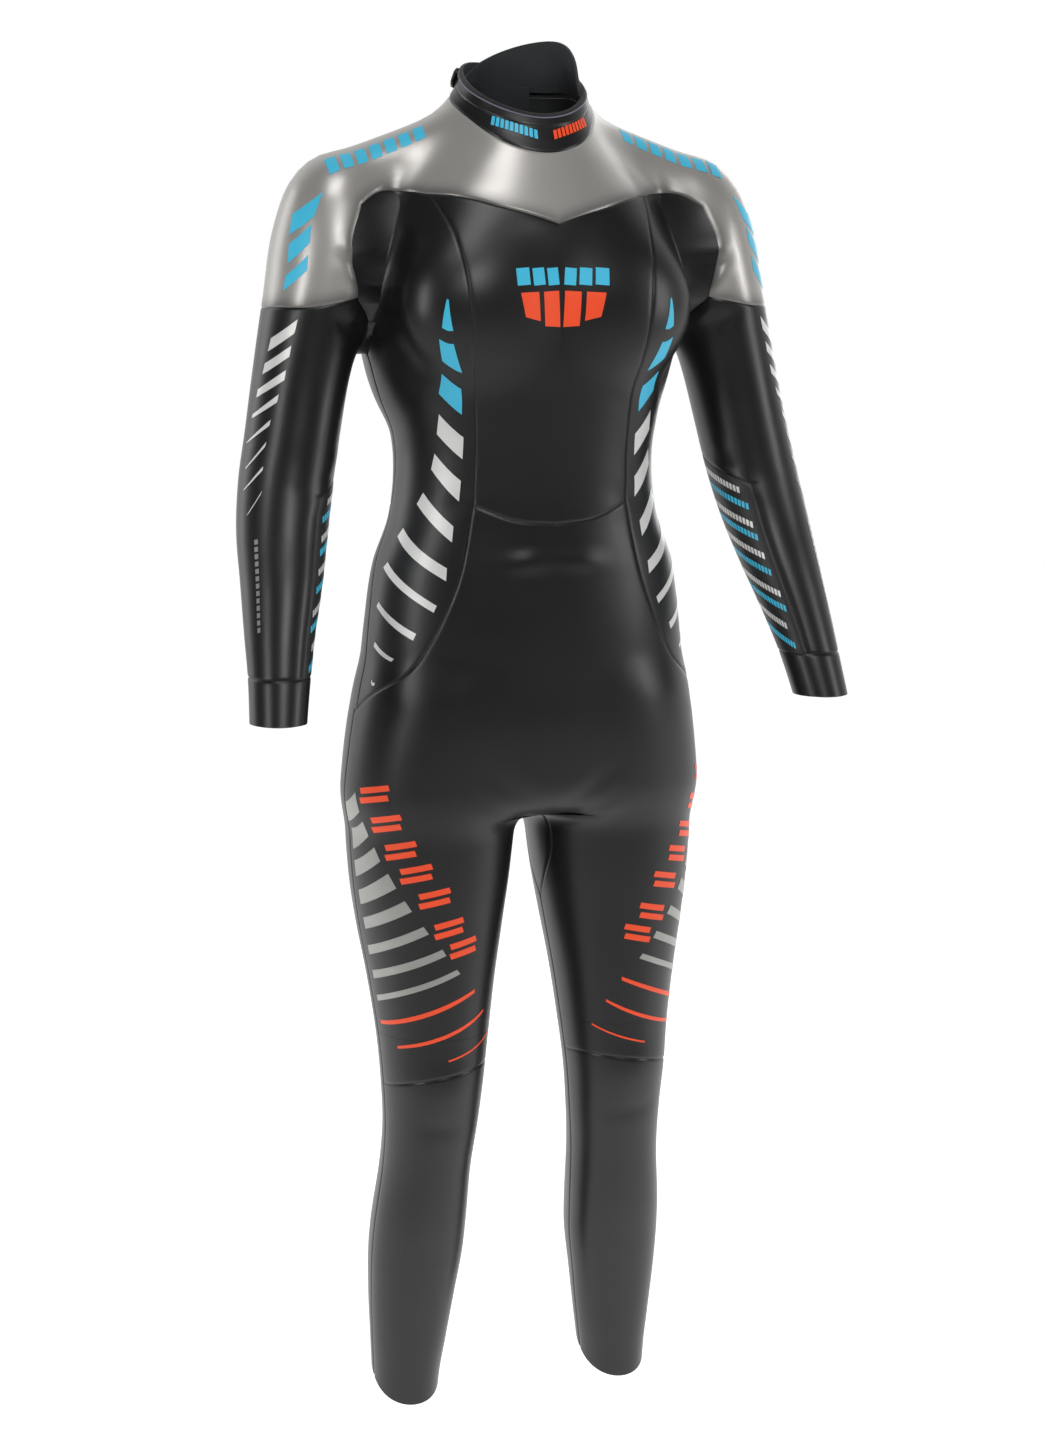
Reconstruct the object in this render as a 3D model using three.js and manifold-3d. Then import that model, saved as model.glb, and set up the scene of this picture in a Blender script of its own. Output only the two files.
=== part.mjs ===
// Full wetsuit for open water swimming: glued neoprene panels, a stand-up collar, a back zip with
// its slider and puller, and a hook-and-loop closure flap behind the neck.
// Millimetres. Origin at the centre of the neck at its base, +Z up, -Y is the wearer's front and
// +X the wearer's left side.
import * as THREE from 'three';
import { mergeVertices } from 'three/addons/utils/BufferGeometryUtils.js';
import Module from 'manifold-3d';

const wasm = await Module();
wasm.setup();

// ---- driving dimensions, mm ----
const SUIT_LENGTH = 1372; // neck base to the lowest point of a hem
const CHEST_WIDTH = 320; // across the chest under the arms
const BODY_WALL = 4; // torso and leg neoprene
const SLEEVE_WALL = 3; // sleeve neoprene
const COLLAR_WALL = 3; // collar band and cuffs
const SEAM_GAP = 0.4; // between two neighbouring panels
const CUFF_HEIGHT = 44;
const HEM_SLANT = 25; // how far a hem dips in front of and rises behind its mean height
const BINDING_HEIGHT = 5; // strip along the top of the collar
const ZIP_WIDTH = 28; // across both tapes
const CHAIN_WIDTH = 6.6; // across both rows of teeth
const CHAIN_THICKNESS = 2.4;
const TAPE_THICKNESS = 1.2;
const SLIDER_LENGTH = 14;
const SLIDER_WALL = 1.6;
const PULLER_LENGTH = 30;
const RUN_GAP = 0.4; // between the slider and what it runs on
const FLAP_WALL = 2.5; // closure flap
const PATCH_WALL = 1; // hook and loop patches
const STACK_GAP = 0.3; // between parts of the zip that lie on each other
const LAYER_GAP = 0.8; // between straps and patches laid round the neck
const BACKING_GAP = 2.8; // between the panels and the flap behind the zip
const FACET = 38; // length of a flat facet
const NECK_FACET = 12; // height of a facet round the neck
const FACET_TURN = { torso: 9, leg: 23, arm: 23 }; // degrees that a facet may turn round a ring

// The tables below are drawn for this suit length and chest width, and stretch with them.
const along = SUIT_LENGTH / 1372;
const girth = CHEST_WIDTH / 320;
const rad = THREE.MathUtils.degToRad;

// ---- the worn shape: height, then half width, front depth, back depth ----
const TORSO = [
  [120, 58, 52, 60], [60, 60, 54, 62], [20, 62, 58, 66], [0, 66, 64, 71], [-20, 78, 71, 78],
  [-45, 102, 82, 86], [-75, 130, 97, 94], [-110, 150, 110, 101], [-170, 158, 116, 104],
  [-230, 153, 114, 101], [-280, 146, 108, 96], [-340, 137, 102, 86], [-400, 143, 99, 79],
  [-450, 161, 101, 83], [-510, 170, 104, 94], [-570, 176, 104, 108], [-620, 184, 104, 116],
  [-680, 188, 100, 116], [-760, 188, 92, 108],
];
// height, centre x, centre y, half width, front depth, back depth
const LEG = [
  [-380, 78, 0, 70, 80, 80], [-600, 88, 2, 86, 92, 100], [-680, 97, 6, 91, 92, 104],
  [-720, 100, 8, 89, 90, 100], [-780, 102, 8, 84, 86, 92], [-830, 103, 6, 77, 80, 82],
  [-890, 103, 2, 67, 72, 70], [-950, 103, -2, 59, 64, 62], [-1000, 104, -4, 54, 60, 58],
  [-1050, 105, 0, 50, 55, 56], [-1100, 108, 8, 48, 52, 60], [-1160, 112, 17, 50, 50, 66],
  [-1200, 114, 23, 50, 47, 66], [-1250, 117, 30, 46, 44, 58], [-1300, 119, 37, 41, 42, 48],
  [-1350, 121, 43, 36, 40, 42], [-1440, 123, 50, 34, 38, 38],
];
// height, centre x, centre y, half width, half depth
const ARM = [
  [-60, 196, 12, 44, 52], [-110, 206, 12, 54, 60], [-160, 215, 10, 54, 62], [-210, 226, 8, 52, 58],
  [-260, 238, 4, 49, 54], [-310, 248, -2, 48, 52], [-360, 258, -10, 48, 50],
  [-410, 267, -26, 46, 48], [-460, 275, -50, 41, 44], [-510, 284, -74, 35, 38],
  [-550, 290, -93, 31, 33], [-600, 297, -112, 28, 31], [-660, 304, -134, 26, 29],
];
const CROTCH = -712; // where the torso ends, before the legs blend into it
const HEM = -1345; // mean height of a hem
const CUFF_TOP = -548;
const ELBOW = [-290, -380]; // top and bottom of the stretch that bends
const KNEE = [-945, -1055];
const ZIP_ENDS = [26, -352];

// Smooth values of a table at height z: cubic pieces with the neighbours' slope at each row.
function row(table, z) {
  let i = 0;
  while (i < table.length - 2 && z < table[i + 1][0]) i += 1;
  const [a, b] = [table[i], table[i + 1]];
  const before = table[Math.max(i - 1, 0)];
  const after = table[Math.min(i + 2, table.length - 1)];
  const h = b[0] - a[0];
  const t = THREE.MathUtils.clamp((z - a[0]) / h, 0, 1);
  return a.slice(1).map((value, k) => {
    const slopeA = (b[k + 1] - before[k + 1]) / (b[0] - before[0]);
    const slopeB = (after[k + 1] - value) / (after[0] - a[0]);
    return (2 * t ** 3 - 3 * t ** 2 + 1) * value + (t ** 3 - 2 * t ** 2 + t) * h * slopeA
      + (3 * t ** 2 - 2 * t ** 3) * b[k + 1] + (t ** 3 - t ** 2) * h * slopeB;
  });
}

// ---- the worn shape as one smooth field: negative inside, zero on the skin ----
function blend(a, b, width) {
  const h = Math.max(width - Math.abs(a - b), 0) / width;
  return Math.min(a, b) - h * h * width / 4;
}
function cutOff(a, b, width) {
  return -blend(-a, -b, width);
}
function slice(dx, dy, half, front, back, power) {
  const rho = (Math.abs(dx / half) ** power + Math.abs(dy / (dy < 0 ? front : back)) ** power)
    ** (1 / power);
  const reach = Math.hypot(dx, dy);
  return reach - reach / Math.max(rho, 1e-6);
}
function ellipsoid([x, y, z], [cx, cy, cz], [rx, ry, rz]) {
  const k0 = Math.hypot((x - cx) / rx, (y - cy) / ry, (z - cz) / rz);
  const k1 = Math.hypot((x - cx) / rx ** 2, (y - cy) / ry ** 2, (z - cz) / rz ** 2);
  return k0 * (k0 - 1) / Math.max(k1, 1e-9);
}
function capsule([x, y, z], a, b, ra, rb) {
  const ab = b.map((value, k) => value - a[k]);
  const ap = [x - a[0], y - a[1], z - a[2]];
  const dot = ap[0] * ab[0] + ap[1] * ab[1] + ap[2] * ab[2];
  const t = THREE.MathUtils.clamp(dot / (ab[0] ** 2 + ab[1] ** 2 + ab[2] ** 2), 0, 1);
  return Math.hypot(...ap.map((value, k) => value - t * ab[k])) - (ra + (rb - ra) * t);
}
const MUSCLES = [
  [[78, -70, -185], [78, 52, 74]], // chest
  [[82, 66, -135], [88, 42, 92]], // shoulder blade
  [[128, 20, -200], [36, 70, 90]], // side of the back
  [[76, 62, -640], [86, 70, 92]], // seat
];
function field(px, y, z) {
  const x = Math.abs(px);
  const p = [x, y, z];
  const [half, front, back] = row(TORSO, z);
  let torso = cutOff(slice(x, y, half, front, back, 2.3), CROTCH - z, 40);
  for (const [centre, radii] of MUSCLES) torso = blend(torso, ellipsoid(p, centre, radii), 30);
  torso = blend(torso, capsule(p, [48, 22, -15], [190, 14, -73], 33, 40), 50);
  const [lx, ly, lw, lf, lb] = row(LEG, z);
  const leg = cutOff(slice(x - lx, y - ly, lw, lf, lb, 2.1), z + 560, 40);
  const [ax, ay, aw, ad] = row(ARM, z);
  const arm = cutOff(slice(x - ax, y - ay, aw, ad, ad, 2.05), z + 110, 60);
  const shoulder = blend(arm, ellipsoid(p, [203, 12, -114], [55, 60, 68]), 30);
  return blend(blend(torso, leg, 26), shoulder, 28);
}

// ---- points on the skin. A vertex is its place and the skin's outward normal there ----
function vertexAt(x, y, z) {
  const h = 0.5;
  const normal = new THREE.Vector3(
    (field(x + h, y, z) - field(x - h, y, z)) / girth,
    (field(x, y + h, z) - field(x, y - h, z)) / girth,
    (field(x, y, z + h) - field(x, y, z - h)) / along,
  ).normalize();
  return { at: new THREE.Vector3(x * girth, y * girth, z * along), normal };
}
function drawn(vertex) { // the place that the tables know this vertex by
  return [vertex.at.x / girth, vertex.at.y / girth, vertex.at.z / along];
}
function cast(from, direction) { // first way out of the skin, from inside it
  const length = Math.hypot(...direction);
  const unit = direction.map((value) => value / length);
  const point = (t) => from.map((value, k) => value + unit[k] * t);
  let inside = 0;
  let outside = 6;
  while (outside < 330 && field(...point(outside)) < 0) {
    inside = outside;
    outside += 6;
  }
  for (let i = 0; i < 24; i += 1) {
    const middle = (inside + outside) / 2;
    if (field(...point(middle)) < 0) inside = middle; else outside = middle;
  }
  return vertexAt(...point(outside));
}
function settle(x, y, z) { // the skin nearest to a point, by walking down the field's slope
  let p = [x, y, z];
  const h = 0.5;
  for (let i = 0; i < 12; i += 1) {
    const [a, b, c] = p;
    const slope = [field(a + h, b, c) - field(a - h, b, c), field(a, b + h, c) - field(a, b - h, c),
      field(a, b, c + h) - field(a, b, c - h)].map((value) => value / (2 * h));
    const step = field(a, b, c) / (slope[0] ** 2 + slope[1] ** 2 + slope[2] ** 2);
    p = p.map((value, k) => value - step * slope[k]);
  }
  if (Math.abs(p[0]) < 1e-6) p[0] = 0;
  return vertexAt(...p);
}

// ---- charts: how the inside of a panel is laid out between its edges ----
const axes = {
  torso: () => [0, 0],
  leg: (z) => row(LEG, z).slice(0, 2),
  arm: (z) => row(ARM, z).slice(0, 2),
};
// Turn about an axis and height; 0 degrees is the front and 90 the outer side.
function ring(axis, degrees, z) {
  const turn = rad(degrees);
  return cast([...axes[axis](z), z], [Math.sin(turn), -Math.cos(turn), 0]);
}
function turnChart(axis, middle) {
  return {
    read(vertex) {
      const [x, y, z] = drawn(vertex);
      const [cx, cy] = axes[axis](z);
      const turn = THREE.MathUtils.radToDeg(Math.atan2(x - cx, cy - y));
      return [middle + THREE.MathUtils.euclideanModulo(turn - middle + 180, 360) - 180, z];
    },
    write: ([degrees, z]) => ring(axis, degrees, z),
  };
}
// Rays out of a line inside the shoulder, from the breastbone to the upper arm.
const SPINE = [[18, 0, -95], [212, 8, -165]];
const shoulderChart = {
  read: drawn,
  write(p) {
    const [a, b] = SPINE;
    const ab = b.map((value, k) => value - a[k]);
    const dot = p.reduce((sum, value, k) => sum + (value - a[k]) * ab[k], 0);
    const t = THREE.MathUtils.clamp(dot / ab.reduce((sum, value) => sum + value ** 2, 0), 0, 1);
    const from = a.map((value, k) => value + t * ab[k]);
    return cast(from, p.map((value, k) => value - from[k]));
  },
};
const nearChart = { read: drawn, write: (p) => settle(...p) };

// ---- seams: rows of vertices shared by the panels on both sides ----
const pieces = (length, facet = FACET) => Math.max(1, Math.round(length / facet));
function seam(start, guides, end) {
  const points = [drawn(start), ...guides, drawn(end)].map((p) => new THREE.Vector3(...p));
  const curve = new THREE.CatmullRomCurve3(points, false, 'centripetal');
  const count = pieces(curve.getLength() * (girth + along) / 2);
  const inner = curve.getSpacedPoints(count).slice(1, -1).map((p) => settle(p.x, p.y, p.z));
  return [start, ...inner, end];
}
function aroundSeam(axis, start, end, startDegrees, endDegrees, height) {
  const turns = Math.ceil(Math.abs(endDegrees - startDegrees) / FACET_TURN[axis]);
  const count = Math.max(pieces(start.at.distanceTo(end.at)), turns);
  const inner = [];
  for (let i = 1; i < count; i += 1) {
    const degrees = startDegrees + (endDegrees - startDegrees) * i / count;
    inner.push(ring(axis, degrees, height(degrees)));
  }
  return [start, ...inner, end];
}
function downSeam(start, end, place, facet = FACET) { // place(z) gives the vertex at height z
  const [top, bottom] = [drawn(start)[2], drawn(end)[2]];
  const count = pieces(Math.abs(top - bottom) * along, facet);
  const inner = [];
  for (let i = 1; i < count; i += 1) inner.push(place(top + (bottom - top) * i / count));
  return [start, ...inner, end];
}
const join = (...rows) => rows.reduce((all, next) => [...all, ...next.slice(1)]);
const back = (line) => [...line].reverse();

// ---- panels: a net between four edges, given a wall and closed ----
function halve(line, count) { // splits the longest spans until the row has this many vertices
  const out = [...line];
  while (out.length < count) {
    let longest = 0;
    let place = 0;
    for (let i = 0; i < out.length - 1; i += 1) {
      const length = out[i].at.distanceTo(out[i + 1].at);
      if (length > longest + 1e-6) [longest, place] = [length, i];
    }
    const [a, b] = [out[place], out[place + 1]];
    const middle = { at: a.at.clone().lerp(b.at, 0.5), normal: a.normal.clone().lerp(b.normal, 0.5) };
    out.splice(place + 1, 0, middle);
  }
  return out;
}
function shares(line) { // how far along the row each vertex lies, 0 to 1
  const sums = [0];
  for (let i = 1; i < line.length; i += 1) {
    sums.push(sums[i - 1] + line[i].at.distanceTo(line[i - 1].at));
  }
  const total = sums.at(-1);
  return sums.map((sum, i) => (total > 0 ? sum / total : i / (line.length - 1)));
}
// A transfinite net: top and bottom rows run the same way, left and right rows run downwards.
function net(top, bottom, left, right, chart) {
  const columns = Math.max(top.length, bottom.length);
  const rows = Math.max(left.length, right.length);
  const [t, b] = [halve(top, columns), halve(bottom, columns)];
  const [l, r] = [halve(left, rows), halve(right, rows)];
  const [ts, bs, ls, rs] = [t, b, l, r].map(shares);
  const [tc, bc, lc, rc] = [t, b, l, r].map((line) => line.map((vertex) => chart.read(vertex)));
  const grid = [];
  for (let j = 0; j < rows; j += 1) {
    const line = [];
    for (let i = 0; i < columns; i += 1) {
      const v = (ls[j] + rs[j]) / 2;
      const u = ts[i] * (1 - v) + bs[i] * v;
      if (j === 0) line.push(t[i]);
      else if (j === rows - 1) line.push(b[i]);
      else if (i === 0) line.push(l[j]);
      else if (i === columns - 1) line.push(r[j]);
      else {
        line.push(chart.write(tc[i].map((_, k) => (1 - v) * tc[i][k] + v * bc[i][k]
          + (1 - u) * lc[j][k] + u * rc[j][k]
          - (1 - u) * (1 - v) * tc[0][k] - u * (1 - v) * tc[columns - 1][k]
          - (1 - u) * v * bc[0][k] - u * v * bc[columns - 1][k])));
      }
    }
    grid.push(line);
  }
  return grid;
}
function mirrored(grid) {
  return grid.map((line) => line.map(({ at, normal }) => ({
    at: new THREE.Vector3(-at.x, at.y, at.z),
    normal: new THREE.Vector3(-normal.x, normal.y, normal.z),
  })));
}
const keyOf = (p) => p.toArray().map((value) => Math.round(value * 1e3)).join();

// Joins nets along the rows that they share, draws the free edge in by half a seam gap, and gives
// the sheet its wall. lift moves the whole piece outwards, for what lies over a panel.
function panelGeometry(grids, wall, lift = 0) {
  const vertices = [];
  const index = new Map();
  const number = (vertex) => {
    const key = keyOf(vertex.at);
    if (!index.has(key)) {
      index.set(key, vertices.length);
      vertices.push({ at: vertex.at.clone(), normal: vertex.normal.clone() });
    }
    return index.get(key);
  };
  const faces = [];
  const outwards = ([a, b, c]) => { // positive where a face turns the way the skin does
    const [p, q, r] = [a, b, c].map((i) => vertices[i]);
    const cross = q.at.clone().sub(p.at).cross(r.at.clone().sub(p.at));
    return cross.dot(p.normal.clone().add(q.normal).add(r.normal));
  };
  for (const grid of grids) {
    const sheet = [];
    const addFace = (...face) => {
      if (new Set(face).size === 3) sheet.push(face);
    };
    for (let j = 0; j < grid.length - 1; j += 1) {
      for (let i = 0; i < grid[0].length - 1; i += 1) {
        const [a, b, c, d] = [grid[j][i], grid[j][i + 1], grid[j + 1][i + 1], grid[j + 1][i]]
          .map(number);
        if (vertices[a].at.distanceTo(vertices[c].at) <= vertices[b].at.distanceTo(vertices[d].at)) {
          addFace(a, b, c);
          addFace(a, c, d);
        } else {
          addFace(a, b, d);
          addFace(b, c, d);
        }
      }
    }
    const turned = sheet.reduce((sum, face) => sum + outwards(face), 0) < 0;
    faces.push(...(turned ? sheet.map(([a, b, c]) => [a, c, b]) : sheet));
  }
  const edges = new Map();
  for (const [a, b, c] of faces) {
    for (const [p, q] of [[a, b], [b, c], [c, a]]) edges.set(`${p},${q}`, [p, q]);
  }
  const free = [...edges.values()].filter(([p, q]) => !edges.has(`${q},${p}`));
  const inward = new Map();
  for (const [p, q] of free) {
    const edge = vertices[q].at.clone().sub(vertices[p].at).normalize();
    for (const i of [p, q]) {
      const side = vertices[i].normal.clone().cross(edge).normalize();
      inward.set(i, [...(inward.get(i) ?? []), side]);
    }
  }
  const moves = new Map();
  for (const [i, sides] of inward) {
    const [a, b] = [sides[0], sides.at(-1)];
    moves.set(i, a.clone().add(b).multiplyScalar(SEAM_GAP / 2 / Math.max(0.3, 1 + a.dot(b))));
  }
  for (const [i, move] of moves) vertices[i].at.add(move);
  const positions = [];
  for (const { at, normal } of vertices) {
    positions.push(...at.clone().addScaledVector(normal, lift).toArray());
  }
  for (const { at, normal } of vertices) {
    positions.push(...at.clone().addScaledVector(normal, lift - wall).toArray());
  }
  const n = vertices.length;
  const triangles = [];
  for (const [a, b, c] of faces) triangles.push(a, b, c, b + n, a + n, c + n);
  const rank = (i) => {
    const p = vertices[i].at;
    return p.z + 0.137 * p.y + 0.071 * Math.abs(p.x);
  };
  for (const [a, b] of free) {
    if (rank(a) > rank(b)) triangles.push(b, a, b + n, a, a + n, b + n);
    else triangles.push(b, a, a + n, b, a + n, b + n);
  }
  const geometry = new THREE.BufferGeometry();
  geometry.setAttribute('position', new THREE.Float32BufferAttribute(positions, 3));
  geometry.setIndex(triangles);
  return geometry;
}

// ---- landmarks and seams of the wearer's left half ----
const zipHalf = ZIP_WIDTH / 2 / girth;
const onZipEdge = (z) => cast([zipHalf, 0, z], [0, 1, 0]);
// Heights of the collar's lower edge and its top, in front (0 degrees) and rising to the back.
const neckLine = (degrees) => -33 + 62 * THREE.MathUtils.smoothstep(degrees, 0, 125);
const collarTop = (degrees) => 1 + 57 * THREE.MathUtils.smoothstep(degrees, 0, 150);
const neckFront = ring('torso', 0, neckLine(0));
const neckBack = onZipEdge(neckLine(180));
const yokeFront = ring('torso', 0, -104);
const yokeCorner = settle(124, -62, -66);
const sleeveFront = settle(190, -48, -178);
const sleeveOuter = ring('arm', 90, -188);
const sleeveBack = settle(192, 66, -182);
const armpit = cast([166, 5, -130], [0, 0, -1]);
const yokeBack = onZipEdge(-112);
const zipFoot = onZipEdge(-358);
const waistBack = cast([0, 0, -358], [0, 1, 0]);
const waistFront = ring('torso', 0, -405);
const waistCorner = settle(86, -92, -385);
const waistSide = ring('torso', 94, -392);
const hipPoint = settle(177, -5, -600);
const crotchFront = settle(0, -34, -716);
const crotchBack = settle(0, 44, -716);
const gussetTip = ring('leg', -90, -815);
const kneeTop = { inner: ring('leg', -90, KNEE[0]), outer: ring('leg', 90, KNEE[0]) };
const kneeFoot = { inner: ring('leg', -90, KNEE[1]), outer: ring('leg', 90, KNEE[1]) };
const hemHeight = (degrees) => HEM - HEM_SLANT / along * Math.cos(rad(degrees));
const hem = { inner: ring('leg', -90, hemHeight(-90)), outer: ring('leg', 90, hemHeight(90)) };

const NECK_CORNERS = [70, 115]; // turns at which the yoke's lines over the shoulder start
const neckCorners = NECK_CORNERS.map((degrees) => ring('torso', degrees, neckLine(degrees)));
const ZIP_SPLIT = 167.5; // turn at which the collar stops short of the zip
const neckSeams = [
  aroundSeam('torso', neckFront, neckCorners[0], 0, NECK_CORNERS[0], neckLine),
  aroundSeam('torso', ...neckCorners, ...NECK_CORNERS, neckLine),
  aroundSeam('torso', neckCorners[1], neckBack, NECK_CORNERS[1], ZIP_SPLIT, neckLine),
];
const yokeCentre = seam(neckFront, [], yokeFront);
const yokeChest = seam(yokeFront, [[60, -105, -82]], yokeCorner);
const yokeElbow = settle(184, -43, -84); // where the border turns down the arm
const yokeTop = seam(yokeCorner, [[150, -45, -62]], yokeElbow);
const yokeArm = seam(yokeElbow, [[199, -46, -125]], sleeveFront);
const shoulderFront = seam(neckCorners[0], [[110, -22, -22], [155, -32, -48]], yokeElbow);
const shoulderRear = seam(neckCorners[1], [[110, 50, -15], [175, 62, -60], [212, 66, -120]],
  sleeveBack);
const capFront = seam(sleeveFront, [[236, -46, -186]], sleeveOuter);
const capBack = seam(sleeveOuter, [[244, 60, -188]], sleeveBack);
const yokeRear = seam(sleeveBack, [[165, 84, -140], [105, 104, -118]], yokeBack);
const zipUpper = downSeam(neckBack, yokeBack, onZipEdge);
const zipLower = downSeam(yokeBack, zipFoot, onZipEdge);
const armholeFront = seam(sleeveFront, [[176, -34, -196]], armpit);
const armholeBack = seam(sleeveBack, [[176, 48, -198]], armpit);
const princess = seam(yokeCorner, [[104, -100, -120], [95, -108, -172], [86, -98, -300]], waistCorner);
const waistSeamFront = seam(waistFront, [[45, -98, -400]], waistCorner);
const flankSeam = seam(waistCorner, [[102, -88, -468], [142, -70, -548]], hipPoint);
const sideSeam = seam(armpit, [[152, 4, -300]], waistSide);
const hipSeam = seam(waistSide, [[166, -2, -480]], hipPoint);
const waistSeamBack = [waistBack, ...seam(zipFoot, [[90, 80, -372]], waistSide)];
const thighOuter = downSeam(hipPoint, kneeTop.outer, (z) => ring('leg', 90, z));
const frontCentre = seam(waistFront, [[0, -103, -500], [0, -100, -600], [0, -82, -680]], crotchFront);
const seatCentre = seam(waistBack, [[0, 84, -430], [0, 98, -520], [0, 108, -620], [0, 84, -690]],
  crotchBack);
const gussetFront = seam(crotchFront, [[20, -30, -752]], gussetTip);
const gussetBack = seam(crotchBack, [[20, 40, -752]], gussetTip);
const thighInner = downSeam(gussetTip, kneeTop.inner, (z) => ring('leg', -90, z));
const shinOuter = downSeam(kneeFoot.outer, hem.outer, (z) => ring('leg', 90, z));
const shinInner = downSeam(kneeFoot.inner, hem.inner, (z) => ring('leg', -90, z));

// Rings across a leg and an arm, each in the spans that its panels meet.
const legRing = (ends, height) => ({
  front: aroundSeam('leg', ends.inner, ends.outer, -90, 90, height),
  back: aroundSeam('leg', ends.outer, ends.inner, 90, 270, height),
});
const kneeRings = [legRing(kneeTop, () => KNEE[0]), legRing(kneeFoot, () => KNEE[1])];
const hemRing = legRing(hem, hemHeight);
// the first two hold the catch panel, the others run over the outer side of the arm
const ARM_SPANS = [[-150, -90], [-90, -28], [-28, 90], [90, 210]];
const nextSpan = (i) => (i + 1) % ARM_SPANS.length;
function armRing(z) {
  const flat = ({ at, normal }) => ({ at, normal: normal.clone().setZ(0).normalize() });
  const corners = ARM_SPANS.map(([from]) => flat(ring('arm', from, z)));
  return ARM_SPANS.map(([from, to], i) => aroundSeam('arm', corners[i], corners[nextSpan(i)],
    from, to, () => z).map(flat));
}
const armhole = [armholeBack, back(armholeFront), capFront, capBack];
const CUFF_END = CUFF_TOP - CUFF_HEIGHT / along;
const elbowRings = [armRing(ELBOW[0]), armRing(ELBOW[1])];
const cuffRings = [armRing(CUFF_TOP), armRing(CUFF_END)];

// ---- tubes: an upper and a lower ring in the same spans, joined by the rows between corners ----
function legTube(upper, lower, inner, outer) {
  return [net(upper.front, lower.front, inner, outer, turnChart('leg', 0)),
    net(upper.back, lower.back, outer, inner, turnChart('leg', 180))];
}
function armRows(upper, lower) {
  return ARM_SPANS.map(([degrees], i) => downSeam(upper[i][0], lower[i][0],
    (z) => ring('arm', degrees, z)));
}
function armTube(upper, lower) {
  const sides = armRows(upper, lower);
  return ARM_SPANS.map(([from, to], i) => net(upper[i], lower[i], sides[i], sides[nextSpan(i)],
    turnChart('arm', (from + to) / 2)));
}

// ---- collar ----
const bindingTop = (degrees) => collarTop(degrees) + BINDING_HEIGHT / along;
function collarRow(height) {
  const ends = [ring('torso', 0, height(0)), onZipEdge(height(180))];
  return aroundSeam('torso', ...ends, 0, ZIP_SPLIT, height);
}
function collarHalf(upper, lower) {
  return net(upper, lower,
    downSeam(upper[0], lower[0], (z) => ring('torso', 0, z), NECK_FACET),
    downSeam(upper.at(-1), lower.at(-1), onZipEdge, NECK_FACET), turnChart('torso', 84));
}
const collarRows = [collarRow(bindingTop), collarRow(collarTop), join(...neckSeams)];
// A strap or patch that lies round the neck between two turns and two heights.
function strapNet(from, to, low, high) {
  const [a, b, c, d] = [[from, high], [to, high], [to, low], [from, low]]
    .map(([degrees, height]) => ring('torso', degrees, height(degrees)));
  return net(aroundSeam('torso', a, b, from, to, high), aroundSeam('torso', d, c, from, to, low),
    downSeam(a, d, (z) => ring('torso', from, z), NECK_FACET),
    downSeam(b, c, (z) => ring('torso', to, z), NECK_FACET), turnChart('torso', (from + to) / 2));
}

// ---- the zip runs on a circle through three points of the back's centre line ----
function circleThrough([a, b, c]) { // each point is [y, z]; gives the centre and the radius
  const d = 2 * (a[0] * (b[1] - c[1]) + b[0] * (c[1] - a[1]) + c[0] * (a[1] - b[1]));
  const [aa, bb, cc] = [a, b, c].map(([y, z]) => y * y + z * z);
  const y = (aa * (b[1] - c[1]) + bb * (c[1] - a[1]) + cc * (a[1] - b[1])) / d;
  const z = (aa * (c[0] - b[0]) + bb * (a[0] - c[0]) + cc * (b[0] - a[0])) / d;
  return { y, z, radius: Math.hypot(a[0] - y, a[1] - z) };
}
const zipPoints = [ZIP_ENDS[0], (ZIP_ENDS[0] + ZIP_ENDS[1]) / 2, ZIP_ENDS[1]]
  .map((z) => cast([0, 0, z], [0, 1, 0]).at)
  .map((at) => [at.y, at.z]);
const circle = circleThrough(zipPoints);
const turnOf = ([y, z]) => Math.atan2(z - circle.z, y - circle.y);
const zipTop = turnOf(zipPoints[0]);
const zipBottom = turnOf(zipPoints[2]);
const arcOf = (length) => length / circle.radius; // turn that a length along the zip takes
const STOP_LENGTH = 4;
const CHAIN_TOP = 0; // how far the chain stands over the skin
const tapeTop = CHAIN_TOP - (CHAIN_THICKNESS - TAPE_THICKNESS) / 2;
const chainHalf = CHAIN_WIDTH / 2;

// A bar bent round the zip's circle: low and high are heights over the skin.
function bentBar(x0, x1, low, high, from, to) {
  const shape = new THREE.Shape();
  shape.absarc(0, 0, circle.radius + high, from, to, false);
  shape.absarc(0, 0, circle.radius + low, to, from, true);
  const steps = Math.max(2, Math.ceil((to - from) * circle.radius / 16));
  const bar = new THREE.ExtrudeGeometry(shape, {
    depth: x1 - x0, bevelEnabled: false, curveSegments: steps,
  });
  bar.applyMatrix4(new THREE.Matrix4().set(0, 0, 1, x0, 1, 0, 0, 0, 0, 1, 0, 0, 0, 0, 0, 1));
  return bar;
}
function box(x, y, z, width, depth, height) { // centred at x, y, z
  return new THREE.BoxGeometry(width, depth, height).translate(x, y, z);
}
function joined(...shapes) {
  const solids = shapes.map((shape) => {
    const bare = shape.clone();
    bare.deleteAttribute('normal');
    bare.deleteAttribute('uv');
    const merged = mergeVertices(bare, 1e-4);
    return new wasm.Manifold(new wasm.Mesh({
      numProp: 3,
      vertProperties: new Float32Array(merged.attributes.position.array),
      triVerts: new Uint32Array(merged.index.array),
    }));
  });
  const mesh = solids.reduce((all, solid) => all.add(solid)).getMesh();
  const geometry = new THREE.BufferGeometry();
  geometry.setAttribute('position', new THREE.BufferAttribute(mesh.vertProperties, 3));
  geometry.setIndex(new THREE.BufferAttribute(mesh.triVerts, 1));
  return geometry;
}

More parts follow.
